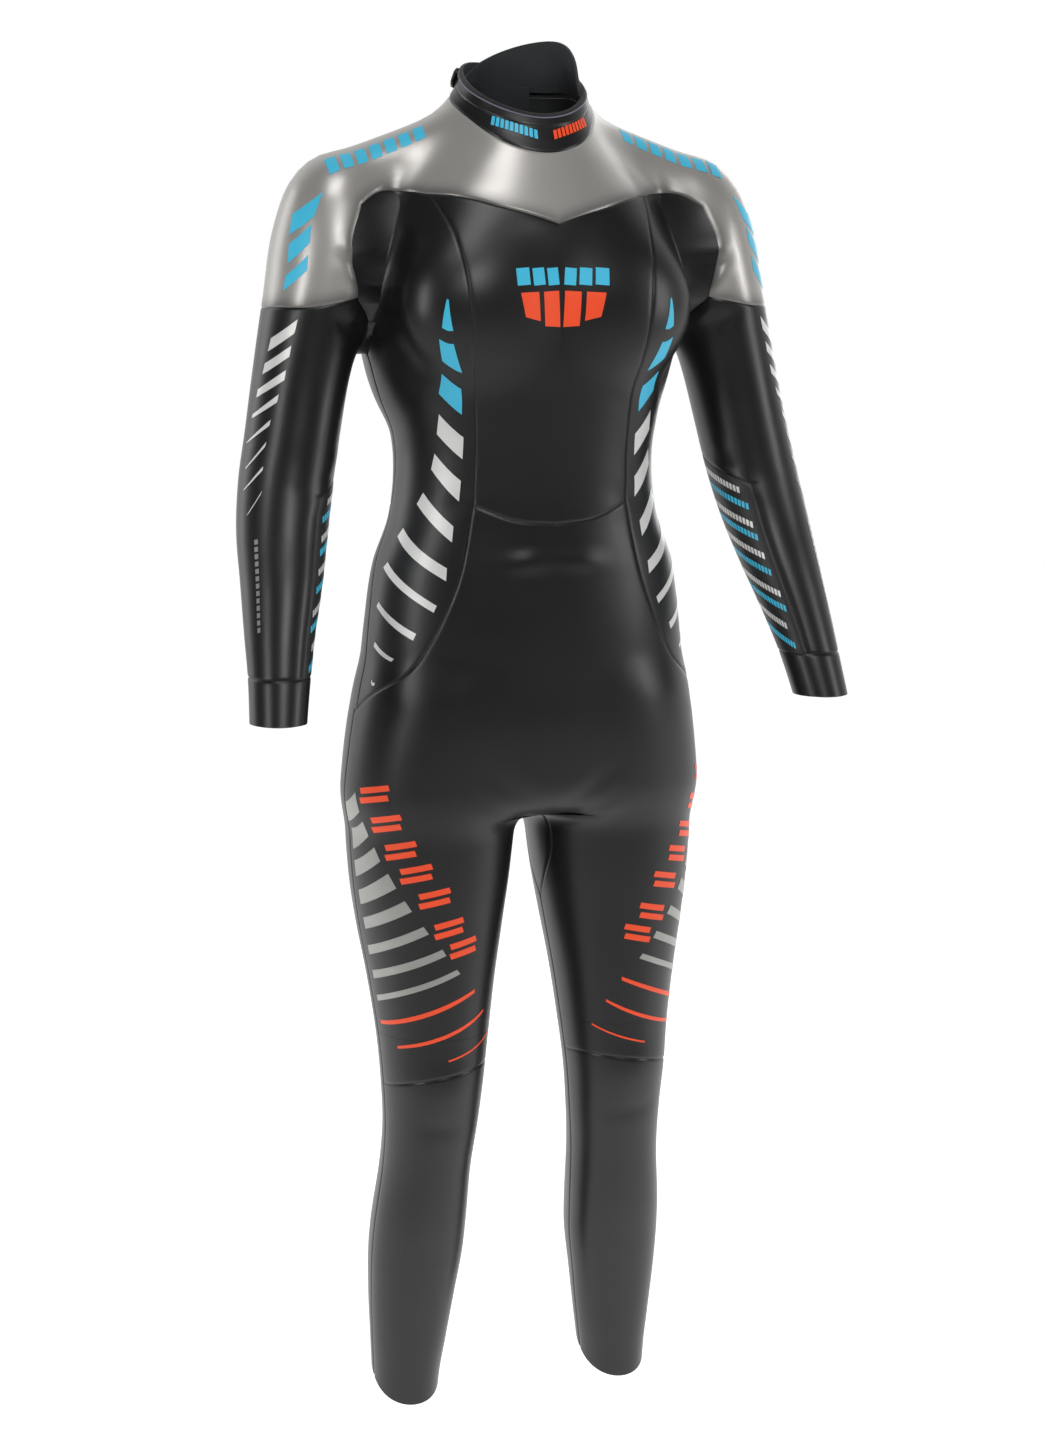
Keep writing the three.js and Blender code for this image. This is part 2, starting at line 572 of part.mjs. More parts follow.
// Slider: a cap over the closed chain with a flange down each side, two ears and a cross pin.
const plateLow = CHAIN_TOP + RUN_GAP;
const plateHigh = plateLow + SLIDER_WALL;
const sliderHalf = chainHalf + RUN_GAP + SLIDER_WALL;
const PIN_RADIUS = 1;
const EAR_WALL = 1.3;
const PULLER_EYE = 4.4; // width of the puller between the ears
const PULLER_WALL = 1.8;
const PULLER_TAG = 9; // width of the grip
const pinHeight = plateHigh + PIN_RADIUS + RUN_GAP + 1.2;
function sliderGeometry() {
  const earX = PULLER_EYE / 2 + RUN_GAP + EAR_WALL / 2;
  const flangeLow = tapeTop + RUN_GAP;
  const shapes = [box(0, (plateLow + plateHigh) / 2, 0, 2 * sliderHalf, SLIDER_WALL, SLIDER_LENGTH)];
  for (const side of [-1, 1]) {
    shapes.push(box(side * (sliderHalf - SLIDER_WALL / 2), (flangeLow + plateHigh) / 2, 0,
      SLIDER_WALL, plateHigh - flangeLow, SLIDER_LENGTH));
    const earHigh = pinHeight + PIN_RADIUS + 1;
    shapes.push(box(side * earX, (plateLow + earHigh) / 2, 0, EAR_WALL, earHigh - plateLow, 5));
  }
  const pin = new THREE.CylinderGeometry(PIN_RADIUS, PIN_RADIUS, 2 * earX, 16).rotateZ(Math.PI / 2);
  shapes.push(pin.translate(0, pinHeight, 0));
  return joined(...shapes);
}
// Puller: an eye round the pin, a neck, and a wider grip that hangs down the back.
function pullerGeometry() {
  const eye = new THREE.Shape();
  const reach = PIN_RADIUS + RUN_GAP + 1.2;
  eye.absarc(0, 0, reach, 0, 2 * Math.PI);
  const hole = new THREE.Path();
  hole.absarc(0, 0, PIN_RADIUS + RUN_GAP, 0, 2 * Math.PI, true);
  eye.holes.push(hole);
  const ringShape = new THREE.ExtrudeGeometry(eye, {
    depth: PULLER_EYE, bevelEnabled: false, curveSegments: 10,
  });
  ringShape.applyMatrix4(new THREE.Matrix4()
    .set(0, 0, 1, -PULLER_EYE / 2, 1, 0, 0, 0, 0, 1, 0, 0, 0, 0, 0, 1));
  const neckTop = -(PIN_RADIUS + RUN_GAP + 0.6);
  const neckEnd = -SLIDER_LENGTH / 2 - 2;
  const neck = box(0, 0, (neckTop + neckEnd) / 2, PULLER_EYE, PULLER_WALL, neckTop - neckEnd);
  const gripEnd = -PULLER_LENGTH;
  const grip = box(0, 0, (neckEnd + 1 + gripEnd) / 2, PULLER_TAG, PULLER_WALL, neckEnd + 1 - gripEnd);
  return joined(ringShape, neck, grip);
}

// ---- the object ----
const suit = new THREE.Group();
suit.name = 'wetsuit';
function finish(color, roughness, metalness = 0) {
  return new THREE.MeshStandardMaterial({ color, roughness, metalness });
}
const smoothSkin = () => finish(0x111114, 0.32);
const silverSkin = () => finish(0x9c9892, 0.42, 0.3);
const jersey = () => finish(0x17171a, 0.85);
const webbing = () => finish(0x101012, 0.7);
const moulded = () => finish(0x1c1c1f, 0.45);
const enamel = () => finish(0x2a2b2e, 0.35, 0.8);

function add(name, geometry, material, parent = suit) {
  const mesh = new THREE.Mesh(geometry, material);
  mesh.name = name;
  parent.add(mesh);
  return mesh;
}
function addPair(name, grids, wall, material, lift = 0) {
  add(`${name}_left`, panelGeometry(grids, wall, lift), material());
  add(`${name}_right`, panelGeometry(grids.map(mirrored), wall, lift), material());
}
function addWhole(name, grids, wall, material, lift = 0) {
  add(name, panelGeometry([...grids, ...grids.map(mirrored)], wall, lift), material());
}

// shoulders, chest and flanks
addWhole('shoulder_yoke', [
  net(neckSeams[0], join(yokeChest, yokeTop), yokeCentre, shoulderFront, shoulderChart),
  net(neckSeams[1], join(capFront, capBack), join(shoulderFront, yokeArm), shoulderRear, shoulderChart),
  net(neckSeams[2], yokeRear, shoulderRear, zipUpper, shoulderChart),
], BODY_WALL, silverSkin);
addWhole('chest_panel', [net(yokeChest, waistSeamFront, seam(yokeFront, [[0, -118, -250]], waistFront),
  princess, turnChart('torso', 0))], BODY_WALL, smoothSkin);
addPair('flank_panel', [net(join(yokeTop, yokeArm, armholeFront), [hipPoint, hipPoint],
  join(princess, flankSeam), join(sideSeam, hipSeam), turnChart('torso', 40))],
BODY_WALL, smoothSkin);
addPair('back_panel', [net(join(back(armholeBack), yokeRear), back(waistSeamBack.slice(1)),
  sideSeam, zipLower, turnChart('torso', 140))], BODY_WALL, smoothSkin);

// hips, thighs, knees and lower legs
addWhole('front_leg_panel', [net(waistSeamFront, kneeRings[0].front,
  join(frontCentre, gussetFront, thighInner), join(flankSeam, thighOuter), turnChart('leg', 0))],
BODY_WALL, smoothSkin);
addPair('seat_panel', [net(back(waistSeamBack), kneeRings[0].back,
  join(hipSeam, thighOuter), join(seatCentre, gussetBack, thighInner), turnChart('leg', 180))],
BODY_WALL, smoothSkin);
const gussetNet = net(gussetFront, gussetBack, seam(crotchFront, [], crotchBack),
  [gussetTip, gussetTip], nearChart);
addWhole('crotch_gusset', [gussetNet], BODY_WALL, jersey);
const kneeRows = ['inner', 'outer'].map((side) => downSeam(kneeTop[side], kneeFoot[side],
  (z) => ring('leg', side === 'inner' ? -90 : 90, z)));
addPair('knee_section', legTube(...kneeRings, ...kneeRows), BODY_WALL, smoothSkin);
addPair('shin_panel', [net(kneeRings[1].front, hemRing.front, shinInner, shinOuter,
  turnChart('leg', 0))], BODY_WALL, smoothSkin);
addPair('calf_panel', [net(kneeRings[1].back, hemRing.back, shinOuter, shinInner,
  turnChart('leg', 180))], BODY_WALL, smoothSkin);

// sleeves
const upperRows = ARM_SPANS.map(([degrees], i) => downSeam(armhole[i][0], elbowRings[0][i][0],
  (z) => ring('arm', degrees, z)));
addPair('upper_sleeve', ARM_SPANS.map(([from, to], i) => net(armhole[i], elbowRings[0][i],
  upperRows[i], upperRows[nextSpan(i)], turnChart('arm', (from + to) / 2))), SLEEVE_WALL, smoothSkin);
addPair('elbow_section', armTube(...elbowRings), SLEEVE_WALL, smoothSkin);
const forearm = armTube(elbowRings[1], cuffRings[0]);
addPair('catch_panel', forearm.slice(0, 2), SLEEVE_WALL, jersey);
addPair('forearm_sleeve', forearm.slice(2), SLEEVE_WALL, smoothSkin);
addPair('cuff', armTube(...cuffRings), SLEEVE_WALL, smoothSkin);

// collar with its binding, and the guard that stands up behind the zip
addWhole('collar_band', [collarHalf(collarRows[1], collarRows[2])], COLLAR_WALL, smoothSkin);
addWhole('collar_binding', [collarHalf(collarRows[0], collarRows[1])], COLLAR_WALL, webbing);
const GUARD_TURNS = [70, 239]; // the guard is set round to the wearer's left
const GUARD_CROWN = 132; // turn at which the dome is highest
const GUARD_LOW = 45; // height of the guard's corners
const GUARD_RISE = 40; // how far the crown stands over its corners
const guardDepth = -(COLLAR_WALL + LAYER_GAP);
// steep and rounded before the crown, a long slope behind it
const guardTop = (degrees) => {
  const [from, to] = GUARD_TURNS;
  const before = Math.max(0, (GUARD_CROWN - degrees) / (GUARD_CROWN - from));
  const behind = Math.max(0, (degrees - GUARD_CROWN) / (to - GUARD_CROWN));
  const shoulder = Math.max(0, 1 - before ** 2) ** 0.8;
  return GUARD_LOW + GUARD_RISE * shoulder * Math.cos(behind * Math.PI / 2);
};
add('neck_guard', panelGeometry([strapNet(...GUARD_TURNS, (a) => neckLine(a) + 6, guardTop)],
  COLLAR_WALL, guardDepth), jersey());
const BACKING_HALF = 30;
const backingRow = (z) => [0, BACKING_HALF / 2, BACKING_HALF].map((x) => cast([x, 0, z], [0, 1, 0]));
const backingRows = [backingRow(neckLine(180) - 6), backingRow(ZIP_ENDS[1] + 10)];
addWhole('zip_backing_flap', [net(...backingRows,
  downSeam(backingRows[0][0], backingRows[1][0], (z) => cast([0, 0, z], [0, 1, 0])),
  downSeam(backingRows[0][2], backingRows[1][2], (z) => cast([BACKING_HALF, 0, z], [0, 1, 0])),
  turnChart('torso', 170))], COLLAR_WALL, jersey, -(BODY_WALL + BACKING_GAP));

// closure flap behind the neck: stitched at the wearer's left, held at the right by hook and loop
const FLAP_TURNS = [152, 240];
const STRIP_TURN = 9; // how far round the stitched strip reaches
const PATCH_TURNS = [200, 236];
const flapLow = () => 34;
const flapHigh = () => 55;
const patchLow = () => 36;
const patchHigh = () => 53;
const hookLift = LAYER_GAP + PATCH_WALL;
const loopLift = hookLift + LAYER_GAP + PATCH_WALL;
const flapLift = loopLift + LAYER_GAP + FLAP_WALL;
const strip = [FLAP_TURNS[0], FLAP_TURNS[0] + STRIP_TURN];
add('closure_flap', panelGeometry([strapNet(...FLAP_TURNS, flapLow, flapHigh)], FLAP_WALL, flapLift),
  smoothSkin());
add('flap_stitch_strip', panelGeometry([strapNet(...strip, patchLow, patchHigh)],
  flapLift - FLAP_WALL - 2 * LAYER_GAP, flapLift - FLAP_WALL - LAYER_GAP), webbing());
add('flap_loop_patch', panelGeometry([strapNet(...PATCH_TURNS, patchLow, patchHigh)], PATCH_WALL,
  loopLift), webbing());
add('collar_hook_patch', panelGeometry([strapNet(...PATCH_TURNS, patchLow, patchHigh)], PATCH_WALL,
  hookLift), moulded());
const TAB_TURN = 11;
add('flap_pull_tab', panelGeometry([strapNet(FLAP_TURNS[1], FLAP_TURNS[1] + TAB_TURN, () => 38,
  () => 51)], PATCH_WALL + 0.6, flapLift - 0.4), webbing());

// zip
const sides = { left: 1, right: -1 };
const centre = new THREE.Group();
centre.position.set(0, circle.y, circle.z);
suit.add(centre);
const chainSpan = [zipBottom + arcOf(STOP_LENGTH + STACK_GAP), zipTop - arcOf(STOP_LENGTH + STACK_GAP)];
for (const [side, sign] of Object.entries(sides)) {
  const across = (inner, outer) => (sign > 0 ? [inner, outer] : [-outer, -inner]);
  add(`zip_tape_${side}`, bentBar(...across(chainHalf + STACK_GAP, ZIP_WIDTH / 2 - STACK_GAP),
    tapeTop - TAPE_THICKNESS, tapeTop, zipBottom, zipTop), webbing(), centre);
  add(`zip_chain_${side}`, bentBar(...across(STACK_GAP / 2, chainHalf),
    CHAIN_TOP - CHAIN_THICKNESS, CHAIN_TOP, ...chainSpan), moulded(), centre);
  add(`zip_top_stop_${side}`, bentBar(...across(STACK_GAP / 2, chainHalf),
    CHAIN_TOP - CHAIN_THICKNESS, CHAIN_TOP + 1, zipTop - arcOf(STOP_LENGTH), zipTop), enamel(), centre);
}
add('zip_bottom_stop', bentBar(-chainHalf, chainHalf, CHAIN_TOP - CHAIN_THICKNESS, CHAIN_TOP + 1,
  zipBottom, zipBottom + arcOf(STOP_LENGTH)), enamel(), centre);
const carriage = new THREE.Group(); // stands on the zip's circle at the slider's closed place
carriage.rotation.x = chainSpan[1] - arcOf(SLIDER_LENGTH / 2 + STACK_GAP);
centre.add(carriage);
add('zip_slider', sliderGeometry(), enamel(), carriage).position.y = circle.radius;
const puller = add('zip_puller', pullerGeometry(), enamel(), carriage);
puller.position.y = circle.radius + pinHeight;

export default suit;
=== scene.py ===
import bmesh
import bpy
import numpy as np
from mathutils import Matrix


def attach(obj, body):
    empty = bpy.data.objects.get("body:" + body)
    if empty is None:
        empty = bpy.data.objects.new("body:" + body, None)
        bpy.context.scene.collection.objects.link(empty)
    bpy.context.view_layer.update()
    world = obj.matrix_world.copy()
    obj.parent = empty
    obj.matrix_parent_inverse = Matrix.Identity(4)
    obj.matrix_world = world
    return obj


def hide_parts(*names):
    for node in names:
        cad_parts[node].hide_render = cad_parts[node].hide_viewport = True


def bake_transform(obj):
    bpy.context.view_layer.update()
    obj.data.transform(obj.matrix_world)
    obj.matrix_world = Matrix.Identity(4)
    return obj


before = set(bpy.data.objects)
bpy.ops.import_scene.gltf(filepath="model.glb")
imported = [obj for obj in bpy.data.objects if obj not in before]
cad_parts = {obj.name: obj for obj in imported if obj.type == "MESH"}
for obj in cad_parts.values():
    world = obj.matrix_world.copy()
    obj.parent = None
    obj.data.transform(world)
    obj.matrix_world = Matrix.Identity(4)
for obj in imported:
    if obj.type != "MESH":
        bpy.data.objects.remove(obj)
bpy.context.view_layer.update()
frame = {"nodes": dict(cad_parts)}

bl_info = {
    "name": "Full wetsuit",
    "version": (1, 0, 0),
    "blender": (4, 5, 0),
    "location": "View3D > Sidebar > Wetsuit",
    "description": "Panels, sleeves, prints, collar, zip and studio of a full swimming wetsuit",
    "category": "Add Mesh",
}

MM = 0.001
# Sizes in mm, as in the solids.
ZIP_HALF = 14
BODY_WALL = 4
SLEEVE_WALL = 3
COLLAR_WALL = 3
FLAP_WALL = 2.5
PATCH_WALL = 1
ARM_SPANS = [(-150, -28), (-28, 90), (90, 210)]  # turns of the catch panel and of the sleeve
FLAP_TURNS = (152, 240)
STRIP_TURNS = (152, 161)
PATCH_TURNS = (200, 236)
TAB_TURNS = (240, 251)
GUARD_TURNS = (70, 239)
GUARD_CROWN = 132  # turn at which the guard is highest
HOOK_LIFT = 1.8  # how far each layer of the closure stands off the collar
LOOP_LIFT = 3.6
FLAP_LIFT = 6.9

# ---- the worn shape, drawn in millimetres for the wearer's left half and mirrored ----
# height, half width, front depth, back depth
TORSO = np.array([
    (120, 58, 52, 60), (60, 60, 54, 62), (20, 62, 58, 66), (0, 66, 64, 71), (-20, 78, 71, 78),
    (-45, 102, 82, 86), (-75, 130, 97, 94), (-110, 150, 110, 101), (-170, 158, 116, 104),
    (-230, 153, 114, 101), (-280, 146, 108, 96), (-340, 137, 102, 86), (-400, 143, 99, 79),
    (-450, 161, 101, 83), (-510, 170, 104, 94), (-570, 176, 104, 108), (-620, 184, 104, 116),
    (-680, 188, 100, 116), (-760, 188, 92, 108)], float)
# height, centre x, centre y, half width, front depth, back depth
LEG = np.array([
    (-380, 78, 0, 70, 80, 80), (-600, 88, 2, 86, 92, 100), (-680, 97, 6, 91, 92, 104),
    (-720, 100, 8, 89, 90, 100), (-780, 102, 8, 84, 86, 92), (-830, 103, 6, 77, 80, 82),
    (-890, 103, 2, 67, 72, 70), (-950, 103, -2, 59, 64, 62), (-1000, 104, -4, 54, 60, 58),
    (-1050, 105, 0, 50, 55, 56), (-1100, 108, 8, 48, 52, 60), (-1160, 112, 17, 50, 50, 66),
    (-1200, 114, 23, 50, 47, 66), (-1250, 117, 30, 46, 44, 58), (-1300, 119, 37, 41, 42, 48),
    (-1350, 121, 43, 36, 40, 42), (-1440, 123, 50, 34, 38, 38)], float)
# height, centre x, centre y, half width, half depth
ARM = np.array([
    (-60, 196, 12, 44, 52), (-110, 206, 12, 54, 60), (-160, 215, 10, 54, 62),
    (-210, 226, 8, 52, 58), (-260, 238, 4, 49, 54), (-310, 248, -2, 48, 52),
    (-360, 258, -10, 48, 50), (-410, 267, -26, 46, 48), (-460, 275, -50, 41, 44),
    (-510, 284, -74, 35, 38), (-550, 290, -93, 31, 33), (-600, 297, -112, 28, 31),
    (-660, 304, -134, 26, 29)], float)
# centre and half axes of the swellings that are blended into the torso
MUSCLES = [
    ((78, -70, -185), (78, 52, 74)),  # chest
    ((82, 66, -135), (88, 42, 92)),  # shoulder blade
    ((128, 20, -200), (36, 70, 90)),  # side of the back
    ((76, 62, -640), (86, 70, 92)),  # seat
]
CROTCH = -712
HEM = -1345
HEM_SLANT = 25
CUFF_TOP = -548
CUFF_END = -592
ELBOW = (-290, -380)
KNEE = (-945, -1055)


def row(table, z):
    """Values of a table at heights z: cubic pieces whose slope at each row is the slope between
    its two neighbours."""
    keys, last = table[:, 0], len(table) - 1
    order = np.arange(len(table))
    before, after = table[np.maximum(order - 1, 0)], table[np.minimum(order + 1, last)]
    slopes = (after[:, 1:] - before[:, 1:]) / (after[:, :1] - before[:, :1])
    i = np.clip(np.searchsorted(-keys, -z) - 1, 0, last - 1)
    h = (keys[i + 1] - keys[i])[..., None]
    t = np.clip((z - keys[i])[..., None] / h, 0, 1)
    return ((2 * t**3 - 3 * t**2 + 1) * table[i, 1:] + (t**3 - 2 * t**2 + t) * h * slopes[i]
            + (3 * t**2 - 2 * t**3) * table[i + 1, 1:] + (t**3 - t**2) * h * slopes[i + 1])


def soft_min(a, b, width):
    """The lesser of two fields, with their meeting rounded over a width."""
    h = np.maximum(width - np.abs(a - b), 0) / width
    return np.minimum(a, b) - h * h * width / 4


def section(dx, dy, half, front, back, power):
    """Distance from a cross-section: reach minus reach over the superellipse's own radius."""
    depth = np.where(dy < 0, front, back)
    rho = (np.abs(dx / half) ** power + np.abs(dy / depth) ** power) ** (1 / power)
    reach = np.hypot(dx, dy)
    return reach - reach / np.maximum(rho, 1e-6)


def ellipsoid(p, centre, radii):
    """Near distance from an ellipsoid: k0 (k0 - 1) / k1 with the two scaled lengths k0, k1."""
    d, r = p - np.array(centre, float), np.array(radii, float)
    k0 = np.linalg.norm(d / r, axis=-1)
    return k0 * (k0 - 1) / np.maximum(np.linalg.norm(d / r**2, axis=-1), 1e-9)


def capsule(p, a, b, ra, rb):
    """Distance from a line between a and b, less a radius that goes from ra to rb."""
    a, b = np.array(a, float), np.array(b, float)
    t = np.clip((p - a) @ (b - a) / ((b - a) @ (b - a)), 0, 1)
    return np.linalg.norm(p - a - t[..., None] * (b - a), axis=-1) - (ra + (rb - ra) * t)


def field(p):
    """The suit as one smooth field, negative inside and zero on the skin: torso with its
    muscles, legs and arms, each a superellipse section that changes with height, blended."""
    x, y, z = np.abs(p[..., 0]), p[..., 1], p[..., 2]
    q = np.stack([x, y, z], -1)
    s = row(TORSO, z)
    torso = section(x, y, s[..., 0], s[..., 1], s[..., 2], 2.3)
    torso = -soft_min(-torso, z - CROTCH, 40)
    for centre, radii in MUSCLES:
        torso = soft_min(torso, ellipsoid(q, centre, radii), 30)
    torso = soft_min(torso, capsule(q, (48, 22, -15), (190, 14, -73), 33, 40), 50)
    s = row(LEG, z)
    leg = section(x - s[..., 0], y - s[..., 1], s[..., 2], s[..., 3], s[..., 4], 2.1)
    leg = -soft_min(-leg, -(z + 560), 40)
    s = row(ARM, z)
    arm = section(x - s[..., 0], y - s[..., 1], s[..., 2], s[..., 3], s[..., 3], 2.05)
    arm = -soft_min(-arm, -(z + 110), 60)
    shoulder = soft_min(arm, ellipsoid(q, (203, 12, -114), (55, 60, 68)), 30)
    return soft_min(soft_min(torso, leg, 26), shoulder, 28)


def slope(p):
    """Gradient of the field by central differences."""
    h = 0.5
    steps = np.eye(3) * h
    return np.stack([field(p + s) - field(p - s) for s in steps], -1) / (2 * h)


def outward(p):
    """Unit normals of the skin."""
    g = slope(p)
    return g / np.linalg.norm(g, axis=-1, keepdims=True)


def cast(origin, direction):
    """First way out of the skin along a ray from inside it: steps of 6 mm, then bisection."""
    origin, direction = np.broadcast_arrays(np.asarray(origin, float), np.asarray(direction, float))
    shape = origin.shape
    o, d = origin.reshape(-1, 3), direction.reshape(-1, 3)
    d = d / np.linalg.norm(d, axis=1, keepdims=True)
    far = np.full(len(o), 6.0)
    going = np.arange(len(o))
    while len(going):
        inside = field(o[going] + d[going] * far[going, None]) < 0
        going = going[inside & (far[going] < 330)]
        far[going] += 6
    near = far - 6
    for _ in range(20):
        middle = (near + far) / 2
        inside = field(o + d * middle[:, None]) < 0
        near, far = np.where(inside, middle, near), np.where(inside, far, middle)
    return (o + d * far[:, None]).reshape(shape)


def settle(p):
    """The skin nearest to points, by walking down the field's slope a dozen times."""
    p = np.array(p, float)
    for _ in range(12):
        g = slope(p)
        p = p - (field(p) / (g * g).sum(-1))[..., None] * g
    p[..., 0] = np.where(np.abs(p[..., 0]) < 1e-6, 0, p[..., 0])
    return p


# ---- charts: how the inside of a panel is laid out between its edges ----
def axis_at(axis, z):
    """Centre line of the torso, a leg or an arm at heights z."""
    if axis == "torso":
        return np.zeros(z.shape + (2,))
    return row(LEG if axis == "leg" else ARM, z)[..., :2]


def ring(axis, degrees, z):
    """The skin at a turn about an axis and a height; 0 is the front and 90 the outer side."""
    degrees, z = np.broadcast_arrays(np.asarray(degrees, float), np.asarray(z, float))
    turn = np.radians(degrees)
    origin = np.concatenate([axis_at(axis, z), z[..., None]], -1)
    return cast(origin, np.stack([np.sin(turn), -np.cos(turn), 0 * turn], -1))


def turn_chart(axis, middle):
    """Chart of turn about an axis and height, with turns counted from the middle one."""
    def read(p):
        c = axis_at(axis, p[..., 2])
        turn = np.degrees(np.arctan2(p[..., 0] - c[..., 0], c[..., 1] - p[..., 1]))
        return np.stack([middle + (turn - middle + 180) % 360 - 180, p[..., 2]], -1)
    return read, lambda c: ring(axis, c[..., 0], c[..., 1])


def same(p):
    """The chart of a panel that is laid out in space itself."""
    return p


SPINE = np.array([(18, 0, -95), (212, 8, -165)], float)


def from_spine(p):
    """Rays out of a line inside the shoulder, from the breastbone to the upper arm."""
    a, b = SPINE
    t = np.clip((p - a) @ (b - a) / ((b - a) @ (b - a)), 0, 1)
    start = a + t[..., None] * (b - a)
    return cast(start, p - start)


SHOULDER_CHART = (same, from_spine)
NEAR_CHART = (same, settle)


# ---- seams: dense lines on the skin, shared by the panels on both sides ----
def smooth_line(points, count=240):
    """Centripetal Catmull-Rom curve through points, evenly spaced along its length."""
    p = np.array(points, float)
    p = np.concatenate([[2 * p[0] - p[1]], p, [2 * p[-1] - p[-2]]])
    gaps = np.maximum(np.linalg.norm(np.diff(p, axis=0), axis=1) ** 0.5, 1e-4)
    out = []
    for i in range(1, len(p) - 2):
        g0, g1, g2 = gaps[i - 1:i + 2]
        a, b, c, d = p[i - 1:i + 3]
        m1 = ((b - a) / g0 - (c - a) / (g0 + g1) + (c - b) / g1) * g1
        m2 = ((c - b) / g1 - (d - b) / (g1 + g2) + (d - c) / g2) * g1
        t = np.linspace(0, 1, 60)[:, None]
        out.append((2 * t**3 - 3 * t**2 + 1) * b + (t**3 - 2 * t**2 + t) * m1
                   + (3 * t**2 - 2 * t**3) * c + (t**3 - t**2) * m2)
    return along(np.concatenate(out), np.linspace(0, 1, count))


def shares(line):
    """How far along a line each of its points lies, 0 to 1."""
    sums = np.concatenate([[0], np.cumsum(np.linalg.norm(np.diff(line, axis=0), axis=1))])
    return sums / sums[-1] if sums[-1] > 0 else np.linspace(0, 1, len(line))


def along(line, at):
    """Points at shares of a line's length."""
    s = shares(line)
    return np.stack([np.interp(at, s, line[:, k]) for k in range(3)], -1)


def length(line):
    return float(np.linalg.norm(np.diff(line, axis=0), axis=1).sum())


def seam(start, guides, end):
    line = settle(smooth_line([start, *guides, end]))
    line[0], line[-1] = start, end
    return line


def around(axis, first, last, height, count=240):
    """A seam round an axis between two turns, at the height that each turn has."""
    degrees = np.linspace(first, last, count)
    return ring(axis, degrees, height(degrees))


def down(start, end, place, count=240):
    """A seam from one point down to another, at the place that each height has."""
    line = place(np.linspace(start[2], end[2], count))
    line[0], line[-1] = start, end
    return line


def join(*lines):
    return np.concatenate([lines[0], *[line[1:] for line in lines[1:]]])


def step(x, low, high):
    t = np.clip((np.asarray(x, float) - low) / (high - low), 0, 1)
    return t * t * (3 - 2 * t)


def neck_line(degrees):
    return -33 + 62 * step(degrees, 0, 125)


def collar_top(degrees):
    return 1 + 57 * step(degrees, 0, 150)


def hem_height(degrees):
    return HEM - HEM_SLANT * np.cos(np.radians(degrees))
